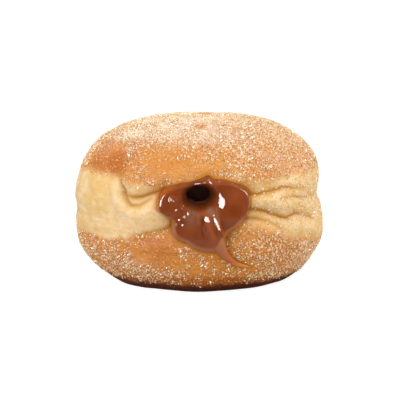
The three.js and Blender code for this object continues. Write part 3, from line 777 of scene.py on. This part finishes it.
def paintDough(obj):
    points = pointsOf(obj)
    height = points[:, 2]
    fine = noiseAt(points, bandEdges["fineSize"], 2)
    crust = crustOn(points, fine)
    creaseShade = creaseShadeOn(points)
    bareSpot = bareSpotsOn(points)
    bareSide, sugaredSide = shoulderSides(points)
    white = bloomOn(points) * (1 - bareSpot)
    storeMask(obj, "crust", crust)
    storeMask(obj, "creaseShade", creaseShade)
    # the caramel's fat stain with painted shade beside it
    storeMask(obj, "soakedAndShaded", soakAndShadeByCaramel(points))
    # the dark foot: darker fried crust with painted shade where it meets the table
    storeMask(obj, "shadedSkirt", softStep(height - shadedSkirt["wander"] * fine, *shadedSkirt["fade"]))
    storeMask(obj, "bloom", white)

    # darker crust and waist: frying, and painted shade in some patches and near the table
    b = brownedAndShaded
    brownAndShade = b["plain"] + b["uneven"] * noiseAt(points, b["unevenSize"], 2) + patchSum(points, darkPatches)
    brownAndShade += b["low"] * softStep(height, *b["lowFade"]) + b["foot"] * softStep(height, *b["footFade"])
    brownAndShade += b["bareSpot"] * bareSpot + b["bareSide"] * bareSide + b["sugaredSide"] * sugaredSide
    storeMask(obj, "browningAndShade", np.clip(brownAndShade, 0, b["most"]) / b["most"])

    c = cover
    clear = softStep(height, *c["clearFade"]) * ~underCaramel(points)
    drift = c["drift"] + c["lowDrift"] * softStep(height, *c["lowFade"])
    patchy = c["broad"] * noiseAt(points, c["broadSize"]) + drift * noiseAt(points, c["driftSize"], 2)
    patchy += patchSum(points, sugarPatches)
    patchy += c["sugaredSide"] * sugaredSide + c["bareSide"] * bareSide + c["bareSpot"] * bareSpot
    covered = c["plain"] + c["top"] * softStep(height, *c["topFade"]) + patchy
    covered = np.clip(covered, c["least"], c["most"]) * crust
    waist = c["waist"] * around(points, *c["waistPatch"]) + c["waistLeast"]
    waist *= (1 + c["inCreases"] * creaseShade) * (1 - crust)
    storeMask(obj, "sugarCover", np.maximum(covered, waist) * clear)

    d = dust
    dusty = d["upper"] * softStep(height, *d["upperFade"]) + d["top"] * softStep(height, *d["topFade"])
    dusty += d["plain"] + d["bareSide"] * bareSide + np.clip(d["drift"] * patchy, *d["driftLimits"])
    dusty = np.clip(dusty * (1 + d["bareSpot"] * bareSpot), d["least"], 1) * crust
    storeMask(obj, "dustCover", np.maximum(dusty, d["onWaist"] * waist) * clear)

    g = grainTone
    scale = g["onWaist"] + g["onCrust"] * crust + g["sugaredSide"] * sugaredSide
    storeMask(obj, "tintScale", (1 + g["inBloom"] * white) * scale)
    storeMask(obj, "tintShift", g["golden"] * crust * (1 - white) * (1 - softStep(covered, *g["few"])))


paintDough(doughBody)
print("dough painted")


# materials

def linear(*screen):
    # colours are noted as 0-255 screen values
    shares = [c / 255 for c in screen]
    return (*[c / 12.92 if c <= 0.04045 else ((c + 0.055) / 1.055) ** 2.4 for c in shares], 1.0)


class Wiring:
    # a shorthand for adding and joining nodes
    def __init__(self, tree):
        self.nodes = tree.nodes
        self.links = tree.links

    def add(self, kind, **settings):
        node = self.nodes.new(kind)
        for key, value in settings.items():
            setattr(node, key, value)
        return node

    def join(self, source, target):
        self.links.new(source, target)

    def fill(self, socket, value):
        if isinstance(value, bpy.types.NodeSocket):
            self.join(value, socket)
        else:
            socket.default_value = value

    def mask(self, name):
        return self.add("ShaderNodeAttribute", attribute_name=name).outputs["Fac"]

    def attribute(self, name):
        node = self.add("GeometryNodeInputNamedAttribute", data_type="FLOAT")
        node.inputs["Name"].default_value = name
        return node.outputs["Attribute"]

    def math(self, operation, *values, clamp=False):
        node = self.add("ShaderNodeMath", operation=operation, use_clamp=clamp)
        for socket, value in zip(node.inputs, values):
            self.fill(socket, value)
        return node.outputs[0]

    def times(self, first, second):
        return self.math("MULTIPLY", first, second)

    def mixColour(self, factor, first, second):
        node = self.add("ShaderNodeMix", data_type="RGBA")
        self.fill(node.inputs[0], factor)
        self.fill(node.inputs[6], first)  # sockets 6 and 7 are its two colours
        self.fill(node.inputs[7], second)
        return node.outputs[2]

    def mixValue(self, factor, first, second):
        node = self.add("ShaderNodeMix", data_type="FLOAT")
        self.fill(node.inputs[0], factor)
        self.fill(node.inputs[2], first)  # sockets 2 and 3 are its two numbers
        self.fill(node.inputs[3], second)
        return node.outputs[0]

    def mapRange(self, value, low, high, toLow=0.0, toHigh=1.0):
        node = self.add("ShaderNodeMapRange")
        for socket, number in zip(node.inputs, (value, low, high, toLow, toHigh)):
            self.fill(socket, number)
        return node.outputs[0]


def mottleGroup():
    # uneven tone at one size in millimetres
    tree = bpy.data.node_groups.new("mottle", "ShaderNodeTree")
    for name, default in (("Size", 2.0), ("Detail", 3.0), ("Contrast", 1.0)):
        socket = tree.interface.new_socket(name, in_out="INPUT", socket_type="NodeSocketFloat")
        socket.default_value = default
    tree.interface.new_socket("Tone", in_out="OUTPUT", socket_type="NodeSocketFloat")
    s = Wiring(tree)
    inside = s.add("NodeGroupInput")
    outside = s.add("NodeGroupOutput")
    place = s.add("ShaderNodeTexCoord")
    grain = s.add("ShaderNodeTexNoise")
    s.join(place.outputs["Object"], grain.inputs["Vector"])
    s.join(s.math("DIVIDE", 1 / mm, inside.outputs["Size"]), grain.inputs["Scale"])
    s.join(inside.outputs["Detail"], grain.inputs["Detail"])
    centred = s.math("SUBTRACT", grain.outputs["Fac"], 0.5)
    stretched = s.times(centred, inside.outputs["Contrast"])
    s.join(s.math("ADD", stretched, 0.5, clamp=True), outside.inputs["Tone"])
    return tree


mottle = mottleGroup()


def setInputs(node, values):
    for name, value in values.items():
        node.inputs[name].default_value = value


def addMottle(s, size, detail, contrast):
    group = s.add("ShaderNodeGroup", node_tree=mottle)
    setInputs(group, {"Size": size, "Detail": detail, "Contrast": contrast})
    return group.outputs["Tone"]


def newMaterial(name):
    material = bpy.data.materials.new(name)
    material.use_nodes = True
    s = Wiring(material.node_tree)
    shader = material.node_tree.nodes["Principled BSDF"]
    return material, s, shader


# mottles: size, detail, contrast
doughLook = {
    # the crease colour is painted shade, ochre in the creases
    "pale": linear(240, 216, 176), "paleDeep": linear(222, 188, 124), "creaseShadeColour": linear(186, 122, 10),
    "light": linear(232, 170, 88), "mid": linear(214, 138, 58), "dark": linear(184, 100, 24),
    # the skirt colour is darker fried crust with painted shade at the foot
    # the soaked colour is the caramel's fat stain with painted shade beside the caramel
    "soakedAndShaded": linear(194, 124, 28), "shadedGaps": linear(182, 100, 34), "shadedSkirt": linear(98, 42, 20),
    "film": linear(232, 216, 210), "fineMottle": (0.9, 4.0, 3.0), "broadMottle": (5.0, 4.0, 2.6),
    "waistFrom": 0.36, "waistDarkening": 1.1, "waistFine": 0.4, "crustDarkening": 1.4, "crustFine": 0.3,
    # the gaps colour under thick sugar is painted shade between the grains
    "lightToMid": (0.1, 0.75), "midToDark": (0.75, 1.4), "shadeUnderSugar": 0.8,
    "filmOver": (0.2, 0.6, 0.35, 0.9),
    "roughness": 0.55, "sheen": 0.15, "softness": 0.2, "softReach": 1.2, "softColours": (1.0, 0.5, 0.25),
    "smallPores": (0.5, 3.0, 1.5), "largePores": (1.8, 3.0, 1.5), "largeShare": 1.5,
    "bumpDepth": 0.12, "bumpStrength": 0.9,
}


def soften(shader, look):
    setInputs(shader, {"Subsurface Weight": look["softness"], "Subsurface Radius": look["softColours"],
                       "Subsurface Scale": look["softReach"] * mm})


def doughMaterial():
    material, s, shader = newMaterial("friedDough")
    look = doughLook
    fine = addMottle(s, *look["fineMottle"])
    broad = addMottle(s, *look["broadMottle"])
    # the waist and the crust darken with browning and with painted shade
    deeper = s.math("SUBTRACT", s.mask("browningAndShade"), look["waistFrom"])
    deeper = s.math("ADD", broad, s.times(deeper, look["waistDarkening"]), clamp=True)
    waist = s.mixColour(deeper, look["pale"], look["paleDeep"])
    waist = s.mixColour(s.times(fine, look["waistFine"]), waist, look["light"])
    speckle = s.times(s.math("SUBTRACT", fine, 0.5), look["crustFine"])
    tone = s.math("ADD", s.times(s.mask("browningAndShade"), look["crustDarkening"]), speckle)
    crust = s.mixColour(s.mapRange(tone, *look["lightToMid"]), look["light"], look["mid"])
    crust = s.mixColour(s.mapRange(tone, *look["midToDark"]), crust, look["dark"])
    # painted shade between the grains: the crust darker where the sugar lies thick
    crust = s.mixColour(s.times(s.mask("sugarCover"), look["shadeUnderSugar"]), crust, look["shadedGaps"])
    colour = s.mixColour(s.mask("crust"), waist, crust)
    dusting = s.times(s.mask("bloom"), s.mapRange(fine, *look["filmOver"]))
    colour = s.mixColour(dusting, colour, look["film"])
    # painted shade in the creases
    colour = s.mixColour(s.mask("creaseShade"), colour, look["creaseShadeColour"])
    # the caramel's fat stain with painted shade beside it
    # the darker fried foot with painted shade where it meets the table
    for mask in ("soakedAndShaded", "shadedSkirt"):
        colour = s.mixColour(s.mask(mask), colour, look[mask])
    s.join(colour, shader.inputs["Base Color"])
    setInputs(shader, {"Specular IOR Level": look["sheen"], "Roughness": look["roughness"]})
    soften(shader, look)
    bump = s.add("ShaderNodeBump")
    setInputs(bump, {"Distance": look["bumpDepth"] * mm, "Strength": look["bumpStrength"]})
    large = s.times(addMottle(s, *look["largePores"]), look["largeShare"])
    s.join(s.math("ADD", addMottle(s, *look["smallPores"]), large), bump.inputs["Height"])
    s.join(bump.outputs["Normal"], shader.inputs["Normal"])
    return material


caramelLook = {
    "deep": linear(118, 52, 19), "thin": linear(192, 92, 18), "shadow": linear(34, 18, 12),
    # the haze colour is a painted reflection, a grey veil over the caramel
    # the inside colour is painted light, paler deep in the hole where little light reaches
    # the lip colour is a painted reflection of the white table on the down-turned rim
    "inside": linear(184, 136, 116), "lip": linear(172, 104, 66), "hazyReflection": linear(142, 100, 72),
    "tip": linear(214, 138, 66), "mottle": (5.0, 2.0, 1.6), "mottleShare": 0.25,
    "roughness": 0.07, "shine": 0.5, "shineFade": (0.45, 0.75), "bending": 1.47,
    "softness": 0.3, "softReach": 1.5, "softColours": (1.0, 0.3, 0.08),
}
caramelTones = {
    # shares of the outline's radius, and angles round the spill
    "edge": (0.9, 1.05), "leftEdge": (0.86, 0.98), "leftFrom": (135, 150), "leftTo": (208, 190),
    "lipEdge": (0.8, 0.89), "lipFrom": (190, 215), "lipTo": (360, 340),
    # heights, and distances to the right of the thread
    "tail": (22, 13), "tailLipFrom": (12, 15), "tip": (13.5, 10.5), "tailSide": (0.2, 0.9),
    "strandFoot": (19, 23), "strandTop": (33, 29),
    # strengths
    "thinEdge": 0.15, "thinLeft": 0.3, "thinTail": 0.7, "thinTailSide": 0.3, "thinStrands": 0.25,
    "tailReflection": 0.35, "lipBesideTail": 0.6,
    "hollow": {"x": -0.5, "z": 35.8, "halfX": 5.6, "halfZ": 4.4, "fade": (1.28, 0.46)},
    # where the painted reflection lies as a grey veil, left of the strands
    "hazyReflection": {"x": -3, "z": 28.8, "halfX": 1.9, "halfZ": 3.4, "strength": 0.65},
    # depths behind the spill's face, and how far round the hollow they count, in half sizes of it
    "insideFrom": (4, 12), "insideReach": 2,
    # shares of a fold's width and of a line's length, and the y that lines stay in front of
    "strandReach": 0.35, "lineEnds": (0, 0.25), "linesBefore": -30,
}
# strength, width, then path of (x, z): painted reflection, pale along the strands, and painted shade, dark
# in the grooves beside them
reflectedStreaks = [
    (0.8, 1.3, [(2, 32.4), (4, 30.4), (6.4, 26)]),
    (0.5, 0.9, [(-0.6, 31), (-0.9, 28.5), (-0.4, 26)]),
    (0.5, 0.5, [(5.2, 33), (6.4, 30), (7, 27)]),
]
# dark lines added to the shadow mask: painted shade in the grooves beside the strands, and a dark line round
# the blip
shadeLines = [
    (0.4, 1.2, [(1.4, 42.2), (2.9, 43), (4.6, 42.4)]),
    (0.5, 0.45, [(0.9, 30), (0.6, 26), (1.4, 21.5)]),
    (0.4, 0.35, [(3.4, 30.4), (4.7, 27.8), (6.7, 24.4), (7.4, 22)]),
    (0.3, 0.3, [(5.7, 31.8), (7, 28.4), (7.6, 25.4)]),
]


def caramelMaterial():
    material, s, shader = newMaterial("caramel")
    look = caramelLook
    tone = s.times(addMottle(s, *look["mottle"]), look["mottleShare"])
    colour = s.mixColour(s.math("ADD", s.mask("thin"), tone, clamp=True), look["deep"], look["thin"])
    # painted light deep inside the hole
    # painted reflection as a grey veil and streaks
    # painted reflection of the table on the lower rim
    for mask in ("lip", "tip", "hazyReflection", "shadow", "inside"):
        colour = s.mixColour(s.mask(mask), colour, look[mask])
    s.join(colour, shader.inputs["Base Color"])
    setInputs(shader, {"Roughness": look["roughness"], "IOR": look["bending"]})
    shine = s.mapRange(s.mask("shadow"), *look["shineFade"], look["shine"], 0.0)
    s.join(shine, shader.inputs["Specular IOR Level"])
    soften(shader, look)
    return material


def linesOn(points, lines):
    # soft lines on the caramel's face, fading at both ends
    drawn = np.zeros(len(points))
    for strength, width, path in lines:
        beside, share = distanceToPath(points[:, [0, 2]], np.array(path, float))
        ends = softStep(share, *caramelTones["lineEnds"]) * softStep(1 - share, *caramelTones["lineEnds"])
        drawn = np.maximum(drawn, strength * ends * np.exp(-(beside / width) ** 2))
    return drawn * (points[:, 1] < caramelTones["linesBefore"])


def strandsOn(points):
    # the crests of the two folds that are drawn out thin
    t = caramelTones
    strands = np.zeros(len(points))
    for width, path in folds[1:]:
        beside, _ = distanceToPath(points[:, [0, 2]], np.array(path, float)[:, :2])
        strands = np.maximum(strands, np.exp(-(beside / (t["strandReach"] * width)) ** 2))
    return strands * softStep(points[:, 2], *t["strandFoot"]) * softStep(points[:, 2], *t["strandTop"])


def paintCaramel(obj):
    # thin where it ends on the dough and in the left lobe, where light comes through
    points = pointsOf(obj)
    x, y, z = points.T
    t = caramelTones
    angle = np.degrees(np.arctan2(z - spill["z"], x - spill["x"])) % 360
    share = np.hypot(x - spill["x"], z - spill["z"]) / outlineRadius(angle)
    leftRim = softStep(share, *t["leftEdge"]) * softStep(angle, *t["leftFrom"])
    leftRim *= softStep(angle, *t["leftTo"])
    tail = softStep(z, *t["tail"])
    rightOfTail = softStep(x - np.interp(z, threadLine[::-1, 1], threadLine[::-1, 0]), *t["tailSide"])
    thin = t["thinEdge"] * softStep(share, *t["edge"]) + t["thinLeft"] * leftRim
    thin += tail * (t["thinTail"] + t["thinTailSide"] * tail * rightOfTail)
    thin += t["thinStrands"] * strandsOn(points)
    storeMask(obj, "thin", thin)
    # painted reflection of the white table on the lower rim and the tail's down-turned face
    lip = softStep(share, *t["lipEdge"]) * softStep(angle, *t["lipFrom"]) * softStep(angle, *t["lipTo"])
    tailReflection = t["tailReflection"] * tail * (1 - tail * rightOfTail) * softStep(z, *t["tailLipFrom"])
    storeMask(obj, "lip", lip * (1 - t["lipBesideTail"] * tail) + tailReflection)
    storeMask(obj, "tip", softStep(z, *t["tip"]))
    # painted reflection: a grey veil left of the strands, and pale streaks along them
    hazyReflection, hollow = t["hazyReflection"], t["hollow"]
    hazy = np.exp(-fromMiddle(x, z, hazyReflection) ** 2)
    storeMask(obj, "hazyReflection", np.maximum(hazyReflection["strength"] * hazy, linesOn(points, reflectedStreaks)))
    away = fromMiddle(x, z, hollow)
    storeMask(obj, "shadow", np.maximum(softStep(away, *hollow["fade"]), linesOn(points, shadeLines)))
    # painted light: paler deep inside the hole, where the lamps barely reach
    depth = plainFront(x, z) + spill["thickness"] + y
    storeMask(obj, "inside", softStep(depth, *t["insideFrom"]) * (away < t["insideReach"]))


paintCaramel(caramelSpill)
for piece, material in ((doughBody, doughMaterial()), (caramelSpill, caramelMaterial())):
    piece.data.materials.clear()
    piece.data.materials.append(material)
print("materials made")


# sugar: grains scattered over the crust

# sizes in millimetres
sugarKinds = {
    "coarseSugar": {
        "grain": "cube", "cover": "sugarCover", "seed": 3,
        "perSquareCm": 250.0, "smallest": 0.26, "largest": 0.56,
        "clear": linear(252, 240, 214), "tinted": linear(230, 174, 100), "goldenBy": 0.6, "roughness": 0.28},
    "fineSugar": {
        "grain": "diamond", "cover": "sugarCover", "seed": 8,
        "perSquareCm": 365.0, "smallest": 0.22, "largest": 0.44,
        "clear": linear(252, 230, 170), "tinted": linear(202, 126, 48), "goldenBy": 0.3, "roughness": 0.25},
    "cinnamonSugar": {
        "grain": "diamond", "cover": "dustCover", "seed": 21,
        "perSquareCm": 330.0, "smallest": 0.22, "largest": 0.5,
        "clear": linear(218, 160, 86), "tinted": linear(146, 78, 26), "goldenBy": -0.7, "roughness": 0.4},
    "sugarDust": {
        "grain": "splinter", "cover": "dustCover", "seed": 34,
        "perSquareCm": 640.0, "smallest": 0.2, "largest": 0.4,
        "clear": linear(240, 238, 230), "tinted": linear(232, 194, 130), "goldenBy": 0.8, "roughness": 0.35},
}
sugarBending = 1.54
# grains about one unit across: mesh node, its values, and how far each is lowered to its middle
grainShapes = {
    "cube": ("Cube", {}, 0),
    "diamond": ("UVSphere", {"Segments": 4, "Rings": 2, "Radius": 0.6}, 0),
    "splinter": ("Cone", {"Vertices": 3, "Radius Top": 0, "Radius Bottom": 0.7, "Depth": 1.0}, 0.4),
}
# grains are drawn out unevenly, most are small and a few large, and most are tinted and a few clear
grainSpread = {"narrow": 0.75, "wide": 1.2, "smallPower": 2.0, "tintPower": 0.7}
squareCmPerSquareMetre = 1e4
# the scatter's inputs, and where their values stand in a kind of sugar
scatterInputs = {"Grains per Square Cm": "perSquareCm", "Smallest": "smallest", "Largest": "largest",
                 "Seed": "seed"}


def sugarMaterial(kind):
    look = sugarKinds[kind]
    material, s, shader = newMaterial(kind)
    s.join(s.mixColour(s.mask("tint"), look["clear"], look["tinted"]), shader.inputs["Base Color"])
    setInputs(shader, {"Roughness": look["roughness"], "IOR": sugarBending})
    return material


def grainMesh(g, shape):
    kind, values, lowered = grainShapes[shape]
    node = g.add("GeometryNodeMesh" + kind)
    setInputs(node, values)
    if not lowered:
        return node.outputs["Mesh"]
    middle = g.add("GeometryNodeTransform")
    middle.inputs["Translation"].default_value = (0, 0, -lowered)
    g.join(node.outputs["Mesh"], middle.inputs["Geometry"])
    return middle.outputs["Geometry"]


def randomVectors(g, seed, lowest, highest):
    node = g.add("FunctionNodeRandomValue", data_type="FLOAT_VECTOR")
    node.inputs[0].default_value = [lowest] * 3
    node.inputs[1].default_value = [highest] * 3
    g.join(seed, node.inputs["Seed"])
    return node.outputs[0]


def randomShare(g, seed):
    node = g.add("FunctionNodeRandomValue", data_type="FLOAT")
    g.join(seed, node.inputs["Seed"])
    return node.outputs[1]


def scatterTree(kind):
    look = sugarKinds[kind]
    tree = bpy.data.node_groups.new(kind, "GeometryNodeTree")
    face = tree.interface
    face.new_socket("Surface", in_out="INPUT", socket_type="NodeSocketGeometry")
    for name, key in scatterInputs.items():
        kindOf = "NodeSocketInt" if name == "Seed" else "NodeSocketFloat"
        face.new_socket(name, in_out="INPUT", socket_type=kindOf).default_value = look[key]
    face.new_socket("Grains", in_out="OUTPUT", socket_type="NodeSocketGeometry")
    g = Wiring(tree)
    inputs = g.add("NodeGroupInput").outputs
    seeds = [inputs["Seed"]] + [g.math("ADD", inputs["Seed"], float(i)) for i in (1, 2, 3)]
    density = g.times(g.attribute(look["cover"]), squareCmPerSquareMetre)
    spread = g.add("GeometryNodeDistributePointsOnFaces", distribute_method="RANDOM")
    g.join(inputs["Surface"], spread.inputs["Mesh"])
    g.join(g.times(density, inputs["Grains per Square Cm"]), spread.inputs["Density"])
    g.join(seeds[0], spread.inputs["Seed"])
    stretch = randomVectors(g, seeds[1], grainSpread["narrow"], grainSpread["wide"])
    few = g.math("POWER", randomShare(g, seeds[2]), grainSpread["smallPower"])
    size = g.mapRange(few, 0.0, 1.0, inputs["Smallest"], inputs["Largest"])
    scale = g.add("ShaderNodeVectorMath", operation="SCALE")
    g.join(stretch, scale.inputs[0])
    g.join(g.times(size, mm), scale.inputs["Scale"])
    place = g.add("GeometryNodeInstanceOnPoints")
    g.join(spread.outputs["Points"], place.inputs["Points"])
    g.join(grainMesh(g, look["grain"]), place.inputs["Instance"])
    g.join(randomVectors(g, seeds[0], 0, math.tau), place.inputs["Rotation"])
    g.join(scale.outputs[0], place.inputs["Scale"])
    tint = g.math("POWER", randomShare(g, seeds[3]), grainSpread["tintPower"])
    tint = g.times(tint, g.attribute("tintScale"))
    golden = g.times(g.attribute("tintShift"), look["goldenBy"])
    store = g.add("GeometryNodeStoreNamedAttribute", data_type="FLOAT", domain="INSTANCE")
    store.inputs["Name"].default_value = "tint"
    g.join(place.outputs["Instances"], store.inputs["Geometry"])
    g.join(g.math("ADD", tint, golden, clamp=True), store.inputs["Value"])
    realize = g.add("GeometryNodeRealizeInstances")
    g.join(store.outputs["Geometry"], realize.inputs["Geometry"])
    finish = g.add("GeometryNodeSetMaterial")
    finish.inputs["Material"].default_value = sugarMaterial(kind)
    g.join(realize.outputs["Geometry"], finish.inputs["Geometry"])
    g.join(finish.outputs["Geometry"], g.add("NodeGroupOutput").inputs["Grains"])
    return tree


def scatterSugar(kind):
    grains = addObject(kind, doughBody.data.copy())
    step = grains.modifiers.new("scatter", "NODES")
    step.node_group = scatterTree(kind)
    identifiers = {item.name: item.identifier for item in step.node_group.interface.items_tree}
    for name, key in scatterInputs.items():
        step[identifiers[name]] = sugarKinds[kind][key]
    applyModifiers(grains)
    print(kind, "scattered,", triangles(grains), "triangles")
    return grains


sugar = [scatterSugar(kind) for kind in sugarKinds]


# the table and the lights

table = {"radius": 0.11, "sides": 96, "shade": 0.45, "roughness": 0.9, "lift": 0.85}


def makeFloor():
    turns = [math.tau * i / table["sides"] for i in range(table["sides"])]
    mesh = bpy.data.meshes.new("table")
    edge = [(table["radius"] * math.cos(t), table["radius"] * math.sin(t), 0) for t in turns]
    mesh.from_pydata(edge, [], [tuple(range(table["sides"]))])
    floor = addObject("table", mesh)
    material, s, shader = newMaterial("whiteTable")
    setInputs(shader, {"Base Color": (*[table["shade"]] * 3, 1), "Roughness": table["roughness"],
                       "Emission Color": (1, 1, 1, 1)})
    # a little more light towards the camera than the lamps give, so that it stays white under the object
    path = s.add("ShaderNodeLightPath")
    lift = s.times(path.outputs["Is Camera Ray"], table["lift"])
    s.join(lift, shader.inputs["Emission Strength"])
    mesh.materials.append(material)


# where each stands and its size in metres, or its spread in degrees; its strength, and what it lights
lamps = {
    "skyPanel": {"from": (-0.1, -0.5, 1.0), "angle": 70, "strength": 1.1, "lights": "surfaces"},
    "frontPanel": {"from": (0.1, -1.0, 0.3), "angle": 60, "strength": 0.32, "lights": "surfaces"},
    "rightPanel": {"from": (1.0, 0.1, 0.35), "angle": 50, "strength": 0.85, "lights": "surfaces"},
    "leftPanel": {"from": (-1.0, 0.1, 0.35), "angle": 50, "strength": 0.6, "lights": "surfaces"},
    "leftBox": {"from": (-0.56, -0.5, 0.2), "side": 0.36, "tall": 0.54, "strength": 15.0, "lights": "gloss"},
    "rightBox": {"from": (0.74, 0.3, 0.6), "side": 0.2, "tall": 0.6, "strength": 14.0, "lights": "gloss"},
}
lampAim = (0, 0, 0.03)
warmth = (1.0, 0.975, 0.92)


def makeLights():
    for name, lamp in lamps.items():
        data = bpy.data.lights.new(name, "SUN" if "angle" in lamp else "AREA")
        data.energy = lamp["strength"]
        if "angle" in lamp:
            data.angle = math.radians(lamp["angle"])
            data.color = warmth
        else:
            data.shape = "RECTANGLE"
            data.size = lamp["side"]
            data.size_y = lamp["tall"]
        obj = bpy.data.objects.new(name, data)
        obj.location = lamp["from"]
        obj.rotation_euler = (Vector(lampAim) - Vector(lamp["from"])).to_track_quat("-Z", "Y").to_euler()
        obj.visible_diffuse = lamp["lights"] == "surfaces"
        obj.visible_glossy = lamp["lights"] == "gloss"
        bpy.context.scene.collection.objects.link(obj)


# strengths of the white round the object: as the camera sees it, as it lights, and as the gloss mirrors it
room = {"behind": 1.1, "diffuse": 0.82, "glossyFront": 0.1, "glossySides": 0.5, "glossyBelow": 0.5,
        "glossyAbove": 0.5, "sides": (0.75, 1.0), "below": (-0.05, -0.45), "above": (0.3, 1.0)}


def makeSurroundings():
    # white behind the object and at its sides; dark in front, where the caramel's face mirrors it
    world = bpy.data.worlds.new("studio")
    bpy.context.scene.world = world
    world.use_nodes = True
    s = Wiring(world.node_tree)
    for node in list(s.nodes):
        s.nodes.remove(node)
    path = s.add("ShaderNodeLightPath")
    side = s.add("ShaderNodeSeparateXYZ")
    s.join(s.add("ShaderNodeTexCoord").outputs["Object"], side.inputs[0])
    sideways = s.math("ABSOLUTE", side.outputs["X"])
    mirrored = s.mapRange(sideways, *room["sides"], room["glossyFront"], room["glossySides"])
    below = s.mapRange(side.outputs["Z"], *room["below"], 0.0, room["glossyBelow"])
    above = s.mapRange(side.outputs["Z"], *room["above"], 0.0, room["glossyAbove"])
    mirrored = s.math("MAXIMUM", mirrored, s.math("MAXIMUM", below, above))
    strength = s.mixValue(path.outputs["Is Glossy Ray"], room["diffuse"], mirrored)
    seen = s.mixValue(path.outputs["Is Camera Ray"], strength, room["behind"])
    shade = s.add("ShaderNodeBackground")
    shade.inputs["Color"].default_value = (1, 1, 1, 1)
    s.join(seen, shade.inputs["Strength"])
    s.join(shade.outputs[0], s.add("ShaderNodeOutputWorld").inputs["Surface"])


makeFloor()
makeLights()
makeSurroundings()
settings = bpy.context.scene.view_settings
settings.view_transform = "Standard"
settings.look = "None"
print("table and lights made")


# what rides on what

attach(doughBody, "root")
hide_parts("dough_body")
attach(caramelSpill, "root")
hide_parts("caramel_filling")
for grains in sugar:
    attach(grains, "root")
